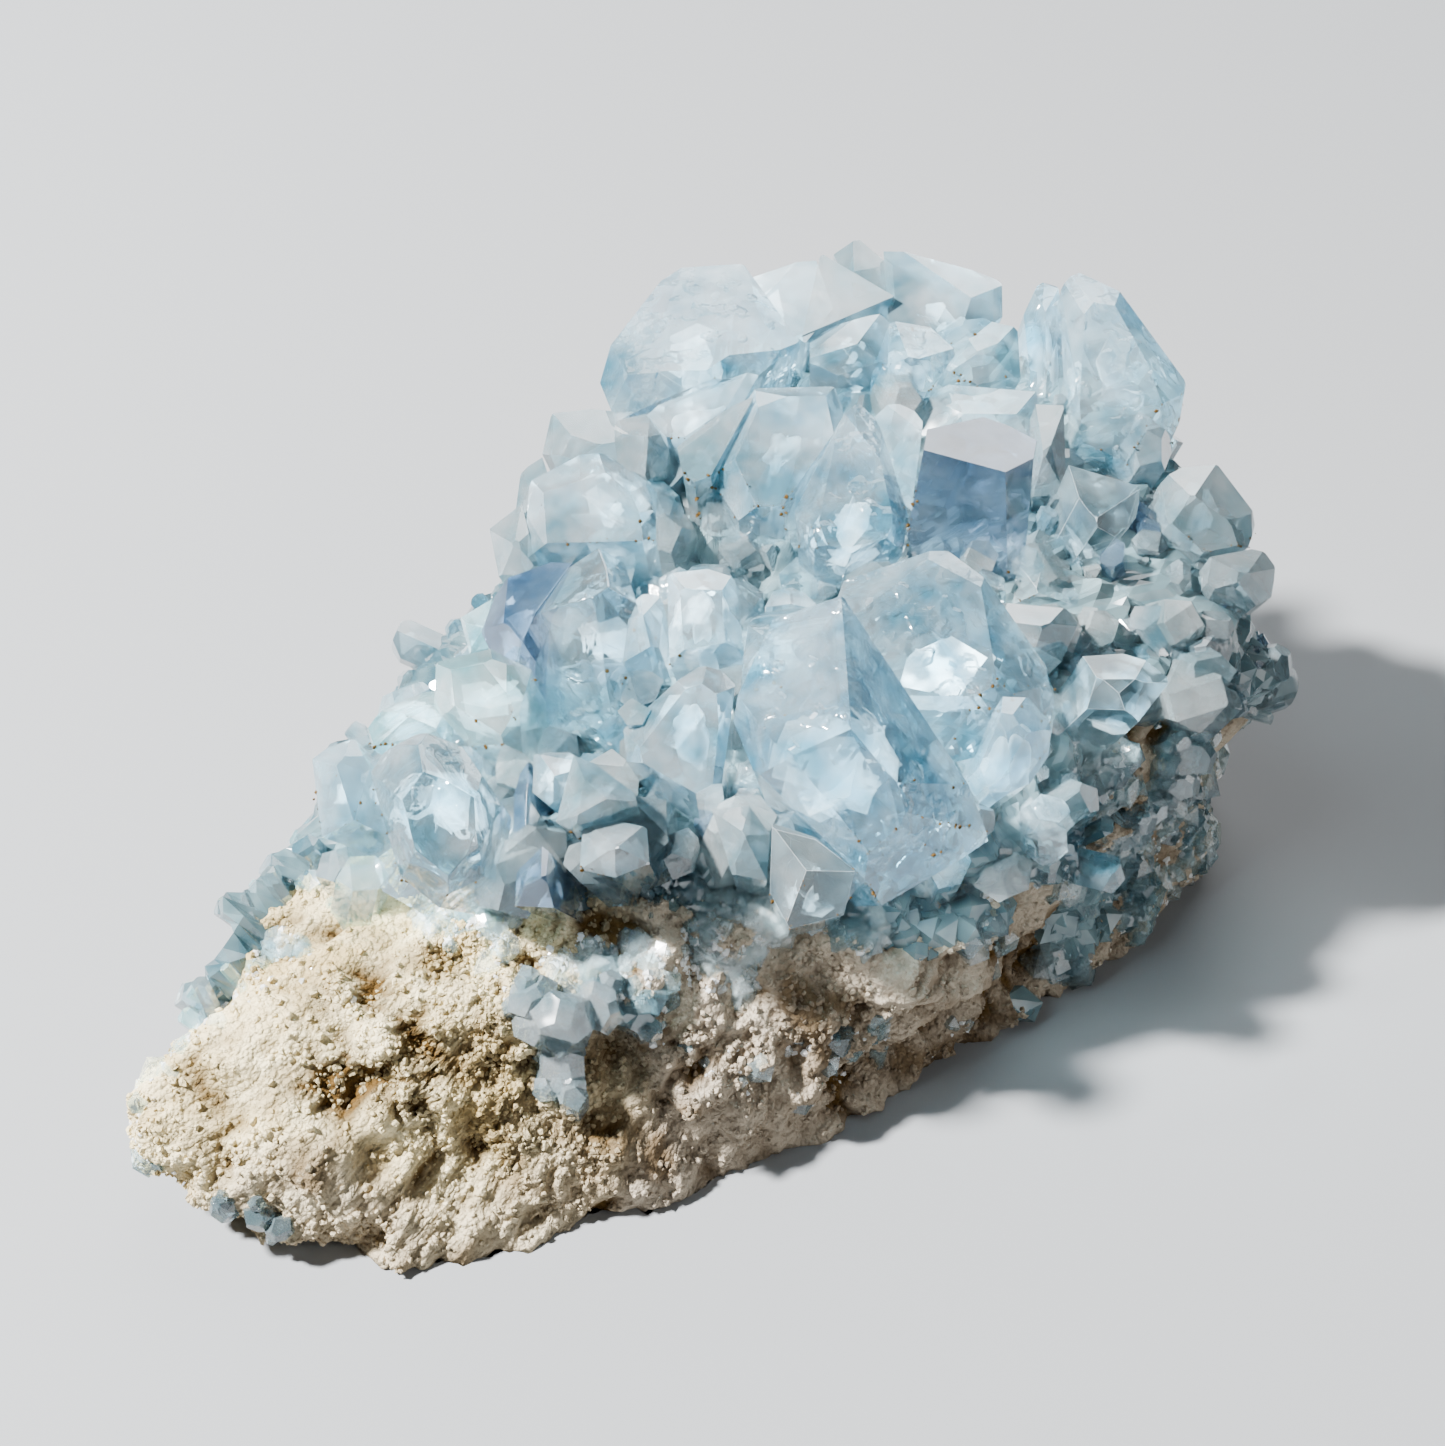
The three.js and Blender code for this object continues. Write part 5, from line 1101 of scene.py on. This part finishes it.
def filling(spacing):
    """Crystals that fill the gaps between the large ones: tips on a wandering grid, just under the crown."""
    columns, rows = np.meshgrid(np.arange(-29, 38, spacing), np.arange(23, 73, spacing))
    k = 20000 + np.arange(columns.size)
    a = columns.ravel() + spacing * (wander(k, 1) - 0.5)
    u = rows.ravel() + spacing * (wander(k, 2) - 0.5)
    ground = ground_at(a, u)
    d = unit(ground - LUMP_CENTRE)
    on_lump = np.abs(np.linalg.norm(ground - LUMP_CENTRE, axis=1) - lump_reach(d)) < 1
    for i in np.flatnonzero(on_lump & (coverage(ground, lump_outward(d)) > 0.5)):
        low = ground[i] @ VIEW_FORWARD
        rise = np.clip(crown_forward(a[i], u[i]) - 3.4 + 2.4 * wander(k[i], 12) - low, 2.0, 9.0)
        tip = from_view(a[i], u[i], low + rise)
        grow = unit(lump_outward(d[i]) + VIEW_FORWARD + 1.2 * (np.array([wander(k[i], 8), wander(k[i], 9),
                                                                         wander(k[i], 10)]) - 0.5))
        yield tip - grow * (rise + 1), grow, k[i], rise + 1


def tint_at(place, k):
    """Mostly pale kinds; slate and grey ones in the band on the upper right, and as painted shade in the deep
    gaps left of the middle.
    """
    a, u, _ = to_view(place)
    band = abs((u - 54) + 0.7 * (a - 22)) < 3 and a > 21
    # Painted shade: dark slate and grey crystals where the gaps between the large ones lie in shade.
    gap = -15 < a < -11.5 and 25 < u < 35 or -4 < a < 1 and 24 < u < 30
    if band or gap:
        return ("deep", "grey", "grey")[int(3 * wander(k, 11))]
    if a < -24:
        return ("aqua", "frosted", "milky")[int(3 * wander(k, 11))]
    return ("milky", "clear", "grey", "druse", "glassy", "frosted", "clear", "milky")[int(8 * wander(k, 11))]


CROWDS = [
    (3000, 5.3, (1.3, 2.5), (3.0, 5.4), 0.55),
    (12000, 2.1, (0.5, 1.0), (1.7, 3.4), 0.8),
]
planned = [(seat, grow, k, 1.0 + 1.4 * wander(k, 4), length) for seat, grow, k, length in filling(3.3)]
for crowd, (tries, spacing, width, height, by) in enumerate(CROWDS):
    for seat, n, k, grain in seats(tries, spacing):
        k += 10000 * crowd
        half_width = grain * (width[0] + (width[1] - width[0]) * wander(k, 1))
        length = grain * (height[0] + (height[1] - height[0]) * wander(k, 2)) + 1.12
        planned.append((seat, leaning(n, k, by), k, half_width, length))
small = {}
for seat, grow, k, half_width, length in planned:
    if not swallowed(seat + unit(grow) * length * 0.8):
        small.setdefault(tint_at(seat, k), []).append(small_crystal(seat, grow, k, half_width, length))
for tint, crystals in sorted(small.items()):
    corners, faces = together(crystals)
    make_piece(f"small_crystals_{tint}", corners, faces, CELESTITE[tint], ["crystal_cluster"],
               smooth=False, shades=tint not in ("clear", "glassy", "aqua"))

# %% [markdown]
# ## Patches by themselves
#
# Three little groups of crystals sit in the bare rock, away from the rest.

# %% Patches
PATCHES = {
    "front_druse": (900, [(-12.2, 19, 1.6), (-10, 18.2, 2), (-7.8, 18.9, 1.6), (-5.8, 17.6, 1.4),
                          (-10.8, 15.6, 1.6), (-11.2, 13.4, 1.5), (-9.8, 11.9, 1.3)]),
    "wall_crystals": (940, [(29.2, 31.6, 1.2), (30.8, 32.6, 1.4), (32.4, 34, 1.3), (33, 36, 1.7)]),
    "edge_crystals": (970, [(-33, 5, 0.9), (-31.4, 4, 1), (-29.8, 3.2, 0.9)]),
}
for name, (first, places) in PATCHES.items():
    crystals = []
    for i, (a, u, size) in enumerate(places):
        for j in range(5):
            k = first + i + 2000 * j
            share = 1 if j == 0 else 0.35 + 0.3 * wander(k, 2)
            aside = 0 if j == 0 else 1.1 * size
            at = ground_at(a + aside * (wander(k, 13) - 0.5) * 2, u + aside * (wander(k, 14) - 0.5) * 2)
            d = unit(at - LUMP_CENTRE)
            p, n = lump_place(d), lump_outward(d)
            crystals.append(small_crystal(p, leaning(n, k, 0.9), k, size * share, size * (1.2 * share + 0.5)))
    corners, faces = together(crystals)
    tint = "grey" if name == "edge_crystals" else "frosted"
    soften(make_piece(f"crystals_of_{name}", corners, faces, CELESTITE[tint], [name],
                      smooth=False), 0.06, 1, CELESTITE[tint])

# %% [markdown]
# ## Floor, light and camera
#
# The specimen lies on a plain pale floor. A small light high on the left stands for the sun of the photo, a
# wide soft one behind for its sky, and a faint one on the right fills the shade. The camera stands where the
# photo was taken.

# %% Floor, lights, camera
def stage_floor():
    """A wide pale sheet, not part of the specimen."""
    mesh = bpy.data.meshes.new("floor")
    half = 3.0
    corners = [(-half, -half, 0), (half, -half, 0), (half, half, 0), (-half, half, 0)]
    mesh.from_pydata(corners, [], [(0, 1, 2, 3)])
    floor = bpy.data.objects.new("floor", mesh)
    bpy.context.collection.objects.link(floor)
    material, _ = new_material("pale_paper")
    paper = add_node(material, "ShaderNodeBsdfPrincipled", {"Base Color": linear("#8e9092"), "Roughness": 1.0,
                                                            "Specular IOR Level": 0.0})
    add_node(material, "ShaderNodeOutputMaterial", {"Surface": paper.outputs["BSDF"]})
    mesh.materials.append(material)
    floor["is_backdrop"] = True


def add_light(name, direction, distance, size, power):
    """An area light at a distance along a direction from the specimen, turned to face it."""
    light = bpy.data.lights.new(name, "AREA")
    light.shape = "DISK"
    light.size = size
    light.energy = power
    lamp = bpy.data.objects.new(name, light)
    aim = Vector((0, 0, 0.02))
    lamp.location = aim + Vector(direction).normalized() * distance
    lamp.rotation_euler = (lamp.location - aim).to_track_quat("Z", "Y").to_euler()
    bpy.context.collection.objects.link(lamp)


SENSOR_WIDTH = 36
LENS = 78.4
stage_floor()
# Direction, distance and size in metres, power in watts
add_light("sun_like", (-0.67, -0.1, 0.735), 0.7, 0.07, 37.0)
add_light("sky_behind", (0.1, 0.75, 0.65), 0.8, 0.7, 6.0)
add_light("fill", (0.8, -0.5, 0.5), 0.9, 0.6, 2.4)
world = bpy.data.worlds.new("studio")
world.use_nodes = True
world.node_tree.nodes["Background"].inputs["Color"].default_value = linear("#c8ccd0")
world.node_tree.nodes["Background"].inputs["Strength"].default_value = 0.1
bpy.context.scene.world = world

eye = from_view(*VIEW_CENTRE, VIEW_DISTANCE) + TO_MIDDLE
camera = bpy.data.objects.new("camera", bpy.data.cameras.new("camera"))
camera.location = eye * MM
camera.rotation_euler = (math.pi / 2 - VIEW_TILT, 0, 0)
camera.data.sensor_width = SENSOR_WIDTH
camera.data.lens = LENS
camera.data.clip_start = 0.01
bpy.context.collection.objects.link(camera)
bpy.context.scene.camera = camera

full_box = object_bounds()
sizes = {"cad": [list(corner) for corner in cad_box], "all": [list(corner) for corner in full_box]}
print("box with looks, mm:", np.round(np.array(sizes["all"]) / MM, 1).tolist())
